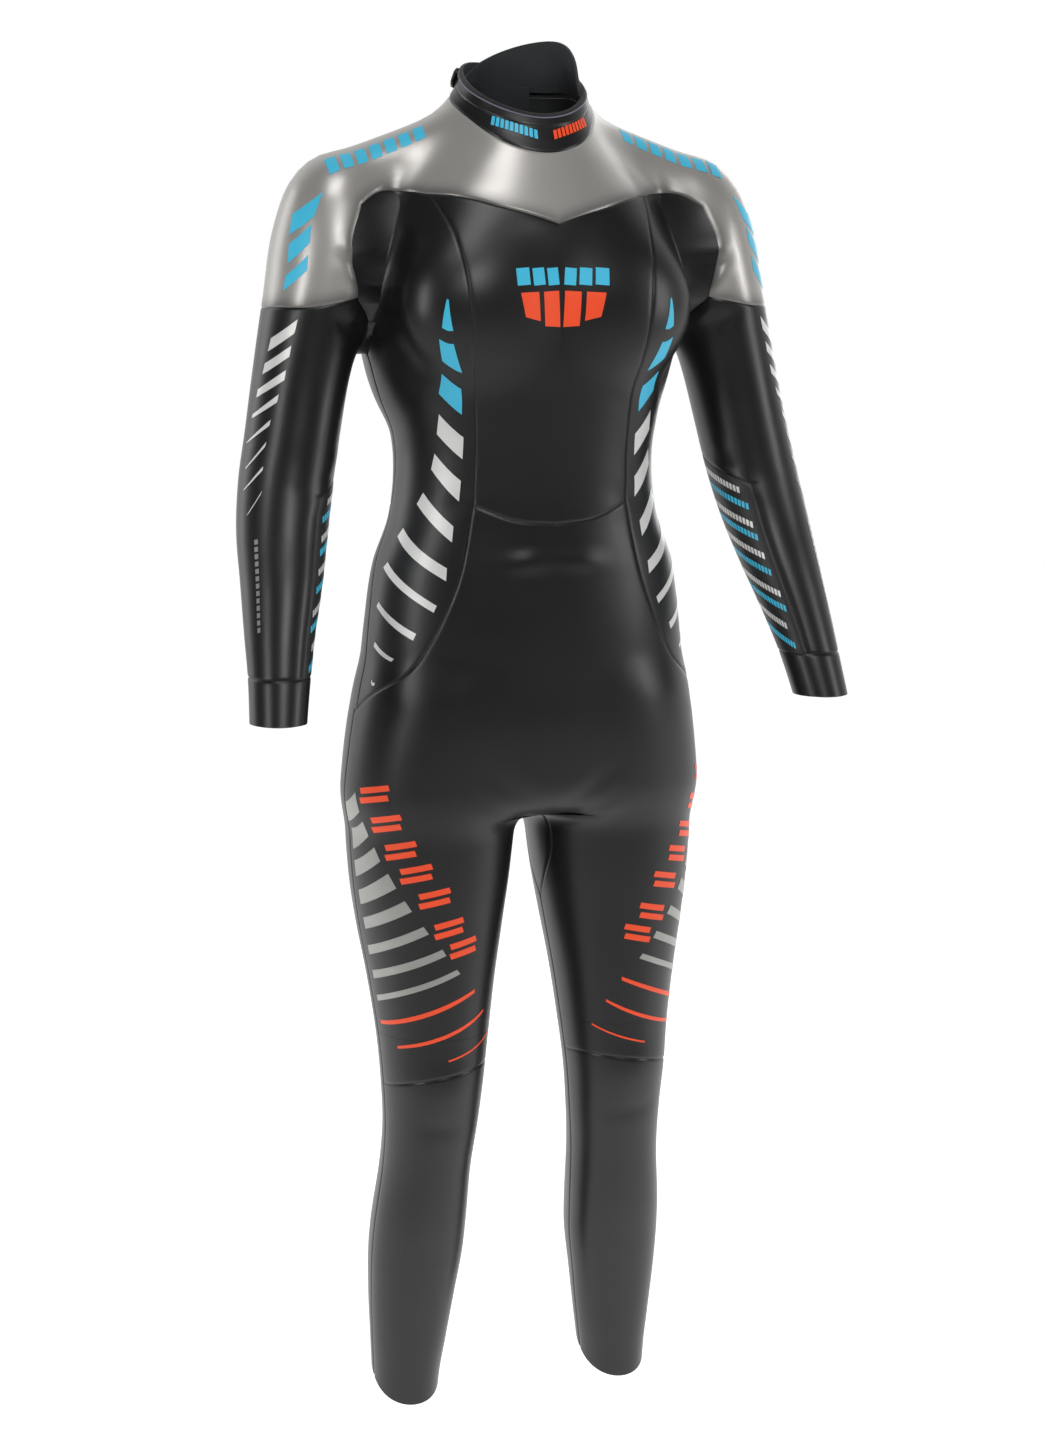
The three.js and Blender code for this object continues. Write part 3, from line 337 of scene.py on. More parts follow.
# ---- landmarks and seams of the left half ----
def landmark_seams():
    """Every seam of the left half as a dense line on the skin, by name, with its end points."""
    def at(x, y, z):
        return settle(np.array([x, y, z], float))

    def on_zip(z):
        z = np.asarray(z, float)
        return cast(np.stack([0 * z + ZIP_HALF, 0 * z, z], -1), (0, 1, 0))

    s = {}
    neck_front, neck_back = ring("torso", 0, neck_line(0)), on_zip(neck_line(180))
    yoke_front, yoke_corner = ring("torso", 0, -104), at(124, -62, -66)
    yoke_elbow, yoke_back = at(184, -43, -84), on_zip(-112)
    sleeve_front, sleeve_back = at(190, -48, -178), at(192, 66, -182)
    sleeve_outer = ring("arm", 90, -188)
    armpit = cast((166, 5, -130), (0, 0, -1))
    zip_foot, waist_back = on_zip(-358), cast((0, 0, -358), (0, 1, 0))
    waist_front, waist_corner = ring("torso", 0, -405), at(86, -92, -385)
    waist_side, hip = ring("torso", 94, -392), at(177, -5, -600)
    crotch_front, crotch_back = at(0, -34, -716), at(0, 44, -716)
    tip = ring("leg", -90, -815)
    s["neck"] = [around("torso", a, b, neck_line) for a, b in ((0, 70), (70, 115), (115, 167.5))]
    s["neck"][2][-1] = neck_back
    corners = s["neck"][1][0], s["neck"][1][-1]
    s["yoke_centre"] = seam(neck_front, [], yoke_front)
    s["yoke_chest"] = seam(yoke_front, [(60, -105, -82)], yoke_corner)
    s["yoke_top"] = seam(yoke_corner, [(150, -45, -62)], yoke_elbow)
    s["yoke_arm"] = seam(yoke_elbow, [(199, -46, -125)], sleeve_front)
    s["shoulder_front"] = seam(corners[0], [(110, -22, -22), (155, -32, -48)], yoke_elbow)
    s["shoulder_rear"] = seam(corners[1], [(110, 50, -15), (175, 62, -60), (212, 66, -120)],
                              sleeve_back)
    s["cap_front"] = seam(sleeve_front, [(236, -46, -186)], sleeve_outer)
    s["cap_back"] = seam(sleeve_outer, [(244, 60, -188)], sleeve_back)
    s["yoke_rear"] = seam(sleeve_back, [(165, 84, -140), (105, 104, -118)], yoke_back)
    s["zip_upper"] = down(neck_back, yoke_back, on_zip)
    s["zip_lower"] = down(yoke_back, zip_foot, on_zip)
    s["armhole_front"] = seam(sleeve_front, [(176, -34, -196)], armpit)
    s["armhole_back"] = seam(sleeve_back, [(176, 48, -198)], armpit)
    s["princess"] = seam(yoke_corner, [(104, -100, -120), (95, -108, -172), (86, -98, -300)],
                         waist_corner)
    s["chest_centre"] = seam(yoke_front, [(0, -118, -250)], waist_front)
    s["waist_front"] = seam(waist_front, [(45, -98, -400)], waist_corner)
    s["flank"] = seam(waist_corner, [(102, -88, -468), (142, -70, -548)], hip)
    s["side"] = seam(armpit, [(152, 4, -300)], waist_side)
    s["hip"] = seam(waist_side, [(166, -2, -480)], hip)
    s["waist_back"] = join(np.array([waist_back, zip_foot]),
                           seam(zip_foot, [(90, 80, -372)], waist_side))
    s["front_centre"] = seam(waist_front, [(0, -103, -500), (0, -100, -600), (0, -82, -680)],
                             crotch_front)
    s["seat_centre"] = seam(waist_back, [(0, 84, -430), (0, 98, -520), (0, 108, -620),
                                         (0, 84, -690)], crotch_back)
    s["gusset_front"] = seam(crotch_front, [(20, -30, -752)], tip)
    s["gusset_back"] = seam(crotch_back, [(20, 40, -752)], tip)
    s["gusset_middle"] = seam(crotch_front, [], crotch_back)
    s["tip"] = np.array([tip, tip])

    def leg_line(start, degrees, low):
        end = ring("leg", degrees, low(degrees))
        return down(start, end, lambda z: ring("leg", degrees, z))

    def level(z):
        return lambda degrees: z + 0 * degrees

    s["thigh_inner"] = leg_line(tip, -90, level(KNEE[0]))
    s["thigh_outer"] = leg_line(hip, 90, level(KNEE[0]))
    s["knee_front"] = around("leg", -90, 90, level(KNEE[0]))
    s["knee_back"] = around("leg", 90, 270, level(KNEE[0]))
    s["kneecap"] = around("leg", -90, 90, kneecap_line)
    s["hem_front"] = around("leg", -90, 90, hem_height)
    s["hem_back"] = around("leg", 90, 270, hem_height)
    inner, outer = s["thigh_inner"][-1], s["thigh_outer"][-1]
    s["knee_inner"], s["knee_outer"] = leg_line(inner, -90, kneecap_line), leg_line(
        outer, 90, kneecap_line)
    s["shin_inner"] = leg_line(s["knee_inner"][-1], -90, hem_height)
    s["shin_outer"] = leg_line(s["knee_outer"][-1], 90, hem_height)

    cut = [around("arm", a, b, elbow_line) for a, b in ARM_SPANS]
    wrist = [around("arm", a, b, level(CUFF_TOP)) for a, b in ARM_SPANS]
    end = [around("arm", a, b, level(CUFF_END)) for a, b in ARM_SPANS]
    s["armhole"] = [join(s["armhole_back"], s["armhole_front"][::-1]), s["cap_front"],
                    s["cap_back"]]

    def arm_line(start, finish):
        read = turn_chart("arm", 0)[0]
        a, b = read(start)[0], read(finish)[0]
        b += 360 * round((a - b) / 360)
        return down(start, finish, lambda z: ring(
            "arm", a + (b - a) * step(z, start[2], finish[2]), z))

    s["upper_rows"] = [arm_line(a[0], c[0]) for a, c in zip(s["armhole"], cut)]
    s["lower_rows"] = [arm_line(c[0], w[0]) for c, w in zip(cut, wrist)]
    s["cuff_rows"] = [arm_line(w[0], e[0]) for w, e in zip(wrist, end)]
    s["elbow"], s["wrist"], s["cuff_end"] = cut, wrist, end
    return s


def kneecap_line(degrees):
    """The seam below the knee dips at the inner side and rises to the outer one."""
    return -992 + 9 * np.cos(np.radians(degrees + 25)) - 6 * np.sin(np.radians(degrees))


def elbow_line(degrees):
    """Slanted top of the catch panel, carried round the arm by a straight fall back to it."""
    d = np.asarray(degrees, float)
    return np.where(d < -28, -352 - 0.34 * (d + 92), -373.8 + 41.5 * (d + 28) / 238)


# ---- panels: nets between four edges, given a wall and closed ----
def spread(size, cell, near=(1, 1), marks=()):
    """Shares of a length at a cell's spacing, closer by the ends that carry a seam, with the
    shares in marks put in exactly."""
    lip = [share / size for share in (0.5, 1.1, 2.2, 4)]
    low = [0.0] + (lip if near[0] else [])
    high = [1.0] + ([1 - share for share in lip] if near[1] else [])
    count = max(2, int(round(size * (min(high) - max(low)) / cell)) + 1)
    inner = list(np.linspace(max(low), min(high), count))
    for mark in marks:
        inner = [share for share in inner if abs(share - mark) > 0.45 * cell / size]
        inner.append(mark)
    return np.unique(np.round(low + high + inner, 7))


def net(top, bottom, left, right, chart, us, vs):
    """Points between four edges by the transfinite rule: the mean of the top and bottom rows
    plus the mean of the side rows less the bilinear mean of the corners, all read in a chart."""
    read, write = chart
    t, b, l, r = along(top, us), along(bottom, us), along(left, vs), along(right, vs)
    tc, bc, lc, rc = (read(line) for line in (t, b, l, r))
    u, v = us[None, :, None], vs[:, None, None]
    flat = ((1 - v) * tc[None] + v * bc[None] + (1 - u) * lc[:, None] + u * rc[:, None]
            - (1 - u) * (1 - v) * tc[0] - u * (1 - v) * tc[-1] - (1 - u) * v * bc[0]
            - u * v * bc[-1])
    grid = np.empty(flat.shape[:2] + (3,))
    grid[1:-1, 1:-1] = write(flat[1:-1, 1:-1])
    grid[0], grid[-1], grid[1:-1, 0], grid[1:-1, -1] = t, b, l[1:-1], r[1:-1]
    return grid


def uv_of(grid):
    """A net's own distances across and down it, in metres."""
    across = np.linalg.norm(np.diff(grid, axis=1), axis=2).mean(0)
    down_it = np.linalg.norm(np.diff(grid, axis=0), axis=2).mean(1)
    u = np.concatenate([[0], np.cumsum(across)])
    v = np.concatenate([[0], np.cumsum(down_it)])
    return np.stack(np.broadcast_arrays(u[None, :], -v[:, None]), -1) / 1000


def mirrored(grid):
    return grid * np.array([-1, 1, 1])


def weld(grids):
    """Joins nets along the rows that they share: points, their distances and outward quads."""
    points = np.concatenate([g.reshape(-1, 3) for g in grids])
    uvs = np.concatenate([uv_of(g).reshape(-1, 2) for g in grids])
    _, first, index = np.unique(np.round(points * 20).astype(np.int64), axis=0,
                                return_index=True, return_inverse=True)
    index = index.reshape(-1)
    quads, start = [], 0
    for g in grids:
        n = np.arange(start, start + g.shape[0] * g.shape[1]).reshape(g.shape[:2])
        start += n.size
        q = np.stack([n[:-1, :-1], n[:-1, 1:], n[1:, 1:], n[1:, :-1]], -1).reshape(-1, 4)
        p = points[q]
        turned = np.cross(p[:, 2] - p[:, 0], p[:, 3] - p[:, 1])
        if (turned * outward(p.mean(1))).sum() < 0:
            q = q[:, ::-1]
        quads.append(index[q])
    return points[first], uvs[first], np.concatenate(quads)


def clean(quads):
    """Faces as lists, with a quad that has two corners in one place made a triangle."""
    whole = (quads != np.roll(quads, -1, 1)).all(1)
    faces = quads[whole].tolist()
    for q in quads[~whole].tolist():
        face = [v for k, v in enumerate(q) if v != q[k - 1]]
        if len(set(face)) == 3 and len(face) == 3:
            faces.append(face)
    return faces


def rim_of(faces, count):
    """Directed edges that only one face has."""
    a = np.concatenate([np.array(f) for f in faces])
    b = np.concatenate([np.roll(f, -1) for f in faces])
    code, back = a * count + b, b * count + a
    free = ~np.isin(code, back)
    return a[free], b[free]


def near_lines(p, lines, reach):
    """Distance from points to the closest sample of some lines, cut at reach."""
    out = np.full(len(p), float(reach))
    low, high = p.min(0) - reach, p.max(0) + reach
    for line in lines:
        dense = along(line, np.linspace(0, 1, max(2, int(length(line) / 0.9))))
        dense = dense[((dense > low) & (dense < high)).all(1)]
        for part in np.array_split(dense, max(1, len(dense) // 400 + 1)):
            if len(part):
                d2 = (p * p).sum(1)[:, None] + (part * part).sum(1) - 2 * p @ part.T
                out = np.minimum(out, np.sqrt(np.maximum(d2.min(1), 0)))
    return out


def fold_height(p):
    """Height of the folds and swellings over the plain skin: for each, a height times a bell
    curve of the distance from its line, fading towards the line's ends."""
    total = np.zeros(len(p))
    for a, b, height, width, both in FOLDS:
        for sign in ((1, -1) if both else (1,)):
            start, end = np.array(a, float), np.array(b, float)
            start, end = start * (sign, 1, 1), end * (sign, 1, 1)
            way = end - start
            t = (p - start) @ way / max(way @ way, 1e-9)
            c = np.clip(t, 0, 1)
            d = np.linalg.norm(p - start - c[:, None] * way, axis=1)
            fade = 0.2 + 0.8 * np.sin(np.pi * c) ** 2
            total += height * fade * np.exp(-(d / width) ** 2)
    return total


def relief(p, seams):
    """Height over the plain skin: folds less a rounded groove along each seam."""
    sizes = bpy.context.scene.suit_sizes
    d = near_lines(np.abs(p) * (1, 0, 0) + p * (0, 1, 1), seams, 8)
    return (sizes.fold_strength * fold_height(p)
            - sizes.seam_depth / MM * np.exp(-(d / (sizes.seam_width / MM)) ** 2))
# Folds and swellings: line ends, height and bell width in mm, and whether both sides have it.
FOLDS = [
    ((216, -56, -124), (170, -58, -138), 3.2, 6, True),  # fans in front of the armpit
    ((212, -54, -136), (174, -54, -158), -3.2, 5, True),
    ((208, -54, -149), (176, -46, -192), 3.6, 6, True),
    ((196, -54, -156), (168, -46, -194), -3.2, 5, True),
    ((182, -52, -150), (164, -56, -196), 3.2, 5, True),
    ((172, -56, -150), (152, -66, -190), -2.6, 6, True),
    ((206, -50, -179), (170, -28, -212), 3.0, 6, True),
    ((224, -50, -190), (196, -48, -214), -2.4, 6, True),
    ((203, 66, -170), (168, 70, -206), 2.2, 6, True),
    ((190, 74, -160), (160, 84, -200), -2.0, 6, True),
    ((-30, -99, -425), (-27, -99, -461), 3.6, 25, True),  # belly
    ((204, -24, -332), (262, -52, -352), 2.0, 7, True),  # front of the elbow
    ((206, -28, -350), (258, -58, -368), -2.2, 6, True),
    ((210, -34, -368), (250, -66, -388), 1.8, 7, True),
    ((232, 44, -318), (284, 40, -330), 1.6, 8, True),  # point of the elbow
    ((10, -92, -700), (70, -94, -660), -2.0, 9, True),  # from the crotch to the hip
    ((16, -80, -726), (96, -84, -690), 1.6, 9, True),
    ((18, 66, -740), (120, 96, -726), -3.0, 9, True),  # under the seat
    ((60, 40, -1000), (150, 44, -1006), -2.6, 9, True),  # behind the knee
    ((62, 50, -1026), (148, 52, -1030), 2.2, 8, True),
    ((104, -64, -965), (104, -64, -1035), 2.4, 28, True),  # kneecap
    ((72, -50, -1046), (140, -54, -1040), -1.8, 9, True),
    ((96, 66, -1290), (142, 62, -1296), -1.4, 8, True),  # ankle
    ((60, -96, -372), (130, -66, -392), -1.4, 10, True),  # waist
    ((70, 84, -410), (140, 56, -400), 1.8, 9, True),
    ((20, 96, -430), (110, 78, -438), -1.6, 9, True),
]

# ---- meshes ----
EDGE_SAMPLES = 30  # points on the edge of a printed film before it is laid out


def put_mesh(name, points, faces, finishes, face_finish=None, uvs=None, sharp=50, border=None):
    """A mesh object from points in mm and faces, with its finishes by face, its own distances as
    a UV map and, where given, a value at each point as the attribute border: how near the point
    lies to a printed border, or, on the floor, the strength of its painted glow."""
    mesh = bpy.data.meshes.new(name)
    mesh.from_pydata((np.asarray(points) * MM).tolist(), [], faces)
    for finish in finishes:
        mesh.materials.append(finish)
    if face_finish is not None:
        mesh.polygons.foreach_set("material_index", np.asarray(face_finish, np.int32))
    mesh.polygons.foreach_set("use_smooth", np.ones(len(mesh.polygons), bool))
    if uvs is not None:
        corner = np.empty(len(mesh.loops), np.int32)
        mesh.loops.foreach_get("vertex_index", corner)
        layer = mesh.uv_layers.new(name="lay")
        layer.data.foreach_set("uv", np.asarray(uvs, np.float32)[corner].ravel())
    if border is not None:
        attribute = mesh.attributes.new("border", "FLOAT", "POINT")
        attribute.data.foreach_set("value", np.asarray(border, np.float32))
    mesh.set_sharp_from_angle(angle=np.radians(sharp))
    mesh.update()
    piece = bpy.data.objects.new(name, mesh)
    bpy.context.collection.objects.link(piece)
    return piece


def walled(grids, wall, seams, lift=0, gap=0.1, bulge=None):
    """A closed sheet: nets welded, lifted along the skin's normals by relief, drawn in by a gap
    at the free edges and given an inner side at the wall's depth."""
    points, uvs, quads = weld(grids)
    normals = outward(points)
    faces = clean(quads)
    n = len(points)
    a, b = rim_of(faces, n)
    inward = np.zeros_like(points)
    side = np.cross(normals[a], points[b] - points[a])
    side /= np.maximum(np.linalg.norm(side, axis=1, keepdims=True), 1e-9)
    np.add.at(inward, a, side)
    np.add.at(inward, b, side)
    size = np.linalg.norm(inward, axis=1, keepdims=True)
    base = points + gap * inward / np.maximum(size, 1e-9)
    height = relief(points, seams) + lift
    if bulge is not None:
        height = height + bulge(points, uvs)
    outer = base + normals * height[:, None]
    inner = base + normals * (np.minimum(height, lift + 0.4) * 0.6 + 0.4 * lift - wall)[:, None]
    back = [[v + n for v in reversed(f)] for f in faces]
    rim = np.stack([b, a, a + n, b + n], 1).tolist()
    marks = [0] * len(faces) + [1] * len(back) + [0] * len(rim)
    return (np.concatenate([outer, inner]), faces + back + rim, marks,
            np.concatenate([uvs, uvs]), points)


def both_sides(grids):
    return grids + [mirrored(g) for g in grids]


def panel(name, grids, wall, seams, finishes, body, nodes, blend=None, border=None):
    """One panel of the suit in place of its solids: on its body, or, when it is given a bend, with
    its place baked in and no body.
    """
    points, faces, marks, uvs, base = walled(grids, wall, seams)
    near = None
    if border is not None:
        near = np.exp(-(near_lines(np.abs(base) * (1, 0, 0) + base * (0, 1, 1), border, 40)
                        / 9) ** 2)
        near = np.concatenate([near, near])
    piece = put_mesh(name, points, faces, finishes, marks, uvs, border=near)
    if blend:
        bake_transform(piece)
    else:
        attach(piece, body)
    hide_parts(*nodes)
    return piece


def film(name, patches, finishes, chart_write, sign, seams, body, blend=None, lift=0):
    """Printed films: each patch has an upper and a lower edge in a chart and a finish; its points
    lie between them in straight shares, on the skin and lifted clear of it."""
    points, faces, marks, uvs = [], [], [], []
    total = 0
    thick = bpy.context.scene.suit_sizes.print_thickness / MM
    for upper, lower, finish in patches:
        u, l = curve_through(upper, EDGE_SAMPLES), curve_through(lower, EDGE_SAMPLES)
        size = length(chart_write(u))
        half = slice(EDGE_SAMPLES // 2, EDGE_SAMPLES // 2 + 1)
        depth = np.linalg.norm(chart_write(u[half]) - chart_write(l[half]))
        cols, rows = max(3, int(size / 3) + 2), max(3, int(depth / 3) + 2)
        at = np.linspace(0, 1, cols)
        even = np.linspace(0, 1, EDGE_SAMPLES)
        top, low = (np.stack([np.interp(at, even, line[:, k]) for k in range(2)], -1)
                    for line in (u, l))
        v = np.linspace(0, 1, rows)[:, None, None]
        skin = chart_write((1 - v) * top[None] + v * low[None])
        flat = skin.reshape(-1, 3)
        normal = outward(flat)
        height = relief(flat, seams) + lift
        n = len(flat)
        outer = flat + normal * (height + 0.16 + thick)[:, None]
        inner = flat + normal * (height + 0.05)[:, None]
        grid = np.arange(n).reshape(rows, cols)
        q = np.stack([grid[:-1, :-1], grid[:-1, 1:], grid[1:, 1:], grid[1:, :-1]], -1)
        q = q.reshape(-1, 4)
        p = flat[q]
        if (np.cross(p[:, 2] - p[:, 0], p[:, 3] - p[:, 1]) * outward(p.mean(1))).sum() < 0:
            q = q[:, ::-1]
        a, b = rim_of(q.tolist(), n)
        rim = np.stack([b, a, a + n, b + n], 1)
        both = np.concatenate([outer, inner]) * (sign, 1, 1)
        every = np.concatenate([q, q[:, ::-1] + n, rim]) + total
        if sign < 0:
            every = every[:, ::-1]
        flat_uv = np.stack(np.broadcast_arrays(at[None, :] * size, -v[:, :, 0] * depth), -1)
        points.append(both)
        faces += every.tolist()
        marks += [finish] * len(every)
        uvs += [flat_uv.reshape(-1, 2) * MM] * 2
        total += 2 * n
    piece = put_mesh(name, np.concatenate(points), faces, finishes, marks, np.concatenate(uvs))
    if blend:
        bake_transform(piece)
    else:
        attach(piece, body)
    return piece


def curve_through(points, count):
    """A smooth curve through two to four chart points: the polynomial of their shares."""
    p = np.array(points, float)
    t = np.linspace(0, 1, len(p)) if len(p) < 3 else (p[:, 0] - p[0, 0]) / (p[-1, 0] - p[0, 0])
    fits = [np.polyfit(t, p[:, k], len(p) - 1) for k in range(p.shape[1])]
    at = np.linspace(0, 1, count)
    return np.stack([np.polyval(f, at) for f in fits], -1)


def tube(path, radius, sides=8):
    """A closed round cord: circles of a radius in the plane across each step of a path."""
    way = np.gradient(path, axis=0)
    way /= np.linalg.norm(way, axis=1, keepdims=True)
    first = np.cross(way, outward(path))
    first /= np.maximum(np.linalg.norm(first, axis=1, keepdims=True), 1e-9)
    second = np.cross(way, first)
    turn = np.linspace(0, 2 * np.pi, sides, endpoint=False)
    rings = (path[:, None] + radius * (np.cos(turn)[:, None] * first[:, None]
                                       + np.sin(turn)[:, None] * second[:, None]))
    n = np.arange(rings.shape[0] * sides).reshape(-1, sides)
    m = np.roll(n, -1, 1)
    quads = np.stack([n[:-1], m[:-1], m[1:], n[1:]], -1).reshape(-1, 4)
    return rings.reshape(-1, 3), quads.tolist() + [n[0].tolist()[::-1], n[-1].tolist()]


def stitches(line, normals, pitch=3.2, stitch=2.3, radius=0.32):
    """Stitches along a line: each is a short spindle that rises from the cloth and returns."""
    total = length(line)
    count = max(1, int(total / pitch))
    starts = (np.arange(count) + 0.5) / count
    t = np.linspace(-0.5, 0.5, 5)
    at = np.clip(starts[:, None] + t[None] * stitch / total, 0, 1)
    spine = along(line, at.ravel()).reshape(count, 5, 3)
    up = along(normals, at.ravel()).reshape(count, 5, 3)
    up = up / np.linalg.norm(up, axis=2, keepdims=True)
    swell = np.cos(np.pi * t) ** 0.5 + 0.15
    spine = spine + up * (0.25 * np.cos(np.pi * t))[None, :, None]
    way = np.gradient(spine, axis=1)
    way /= np.maximum(np.linalg.norm(way, axis=2, keepdims=True), 1e-9)
    side = np.cross(way, up)
    turn = np.linspace(0, 2 * np.pi, 5, endpoint=False)
    rings = spine[:, :, None] + radius * swell[None, :, None, None] * (
        np.cos(turn)[:, None] * side[:, :, None] + np.sin(turn)[:, None] * up[:, :, None])
    n = np.arange(rings.size // 3).reshape(count, 5, 5)
    m = np.roll(n, -1, 2)
    quads = np.stack([n[:, :-1], m[:, :-1], m[:, 1:], n[:, 1:]], -1).reshape(-1, 4)
    faces = quads.tolist() + n[:, 0, ::-1].tolist() + n[:, -1].tolist()
    return rings.reshape(-1, 3), faces


def gather(parts):
    """Several points-and-faces shapes as one."""
    points, faces, start = [], [], 0
    for p, f in parts:
        points.append(p)
        faces += [[v + start for v in face] for face in f]
        start += len(p)
    return np.concatenate(points), faces


def outwards(piece):
    """Turns a closed mesh's faces outwards."""
    work = bmesh.new()
    work.from_mesh(piece.data)
    bmesh.ops.recalc_face_normals(work, faces=work.faces)
    work.to_mesh(piece.data)
    work.free()
    return piece

# ---- finishes ----
def linked(links, nodes, kind, sources=(), **values):
    """A shader node with values on its sockets by name and links into its sockets."""
    node = nodes.new(kind)
    for key, value in values.items():
        node.inputs[key.replace("_", " ")].default_value = value
    for socket, source in sources:
        links.new(source, node.inputs[socket])
    return node


def finish(name, colour, rough, metal=0.0, grain=900, bump=0.12, cells=0, knit=0, mottle=0.15,
           shade=0.0, coat=0.0):
    """A finish from noise in the object's own space: tone mottled at hand size, roughness
    varied, and a bump from grain, from round cells or from the two waves of a knit."""
    name = "look_" + name
    if name in bpy.data.materials:
        return bpy.data.materials[name]
    material = bpy.data.materials.new(name)
    material.use_nodes = True
    nodes, links = material.node_tree.nodes, material.node_tree.links
    shader = nodes["Principled BSDF"]
    place = nodes.new("ShaderNodeTexCoord").outputs["Object"]
    wide = linked(links, nodes, "ShaderNodeTexNoise", [("Vector", place)], Scale=9, Detail=4,
                  Roughness=0.6)
    fine = linked(links, nodes, "ShaderNodeTexNoise", [("Vector", place)], Scale=grain, Detail=3)
    tone = nodes.new("ShaderNodeMix")
    tone.data_type = "RGBA"
    dark = [c * (1 - mottle) for c in colour]
    light = [min(1, c * (1 + mottle)) for c in colour]
    tone.inputs["A"].default_value = (*dark, 1)
    tone.inputs["B"].default_value = (*light, 1)
    links.new(wide.outputs["Fac"], tone.inputs["Factor"])
    colour_out = tone.outputs["Result"]
    if shade:
        near = nodes.new("ShaderNodeAttribute")
        near.attribute_name = "border"
        burn = nodes.new("ShaderNodeMix")
        burn.data_type = "RGBA"
        burn.inputs["B"].default_value = (*[c * (1 - shade) for c in colour], 1)
        links.new(near.outputs["Fac"], burn.inputs["Factor"])
        links.new(colour_out, burn.inputs["A"])
        colour_out = burn.outputs["Result"]
    links.new(colour_out, shader.inputs["Base Color"])
    gloss = linked(links, nodes, "ShaderNodeMapRange", [("Value", wide.outputs["Fac"])])
    gloss.inputs["To Min"].default_value = rough * 0.86
    gloss.inputs["To Max"].default_value = min(1, rough * 1.16)
    links.new(gloss.outputs["Result"], shader.inputs["Roughness"])
    height = fine.outputs["Fac"]
    if cells:
        spots = linked(links, nodes, "ShaderNodeTexVoronoi", [("Vector", place)], Scale=cells)
        height = spots.outputs["Distance"]
    if knit:
        rows = linked(links, nodes, "ShaderNodeTexWave", [("Vector", place)], Scale=knit,
                      Distortion=1.2, Detail=1)
        rows.bands_direction = "Z"
        columns = linked(links, nodes, "ShaderNodeTexWave", [("Vector", place)], Scale=knit,
                         Distortion=1.2, Detail=1)
        columns.bands_direction = "X"
        both = nodes.new("ShaderNodeMath")
        both.operation = "MULTIPLY"
        links.new(rows.outputs["Fac"], both.inputs[0])
        links.new(columns.outputs["Fac"], both.inputs[1])
        height = both.outputs["Value"]
    bumps = linked(links, nodes, "ShaderNodeBump", [("Height", height)], Strength=bump,
                   Distance=0.0006)
    links.new(bumps.outputs["Normal"], shader.inputs["Normal"])
    shader.inputs["Metallic"].default_value = metal
    shader.inputs["Coat Weight"].default_value = coat
    shader.inputs["Coat Roughness"].default_value = 0.25
    return material


def smooth_skin():
    return finish("smooth_skin", bpy.context.scene.suit_sizes.skin_colour, 0.36, bump=0.06)


def silver_skin():
    return finish("silver_skin", bpy.context.scene.suit_sizes.yoke_colour, 0.34, 0.42, bump=0.06,
                  mottle=0.06, shade=0.55)


def lining():
    return finish("lining", (0.03, 0.032, 0.035), 0.8, knit=420, bump=0.5)


def jersey():
    return finish("stretch_jersey", (0.035, 0.036, 0.04), 0.72, knit=380, bump=0.6)


def blue_print():
    return finish("blue_print", bpy.context.scene.suit_sizes.blue_colour, 0.42, mottle=0.08)


def orange_print():
    return finish("orange_print", bpy.context.scene.suit_sizes.orange_colour, 0.42, mottle=0.06)


def white_print():
    return finish("white_print", (0.72, 0.72, 0.70), 0.38, 0.15, mottle=0.12)


def dim_print():
    return finish("dim_silver_print", (0.36, 0.36, 0.34), 0.36, 0.5, mottle=0.25)


def web():
    return finish("binding_tape", (0.012, 0.012, 0.013), 0.6, knit=700, bump=0.5)


def plastic():
    return finish("moulded_black", (0.012, 0.012, 0.013), 0.32, grain=300, bump=0.05)


def metal():
    return finish("dark_metal", (0.08, 0.08, 0.085), 0.32, 0.9, grain=500, bump=0.05)


def thread():
    return finish("thread", (0.02, 0.02, 0.022), 0.6, grain=2400, bump=0.4)


# ---- pieces ----
def cells():
    return bpy.context.scene.suit_sizes.cell / MM


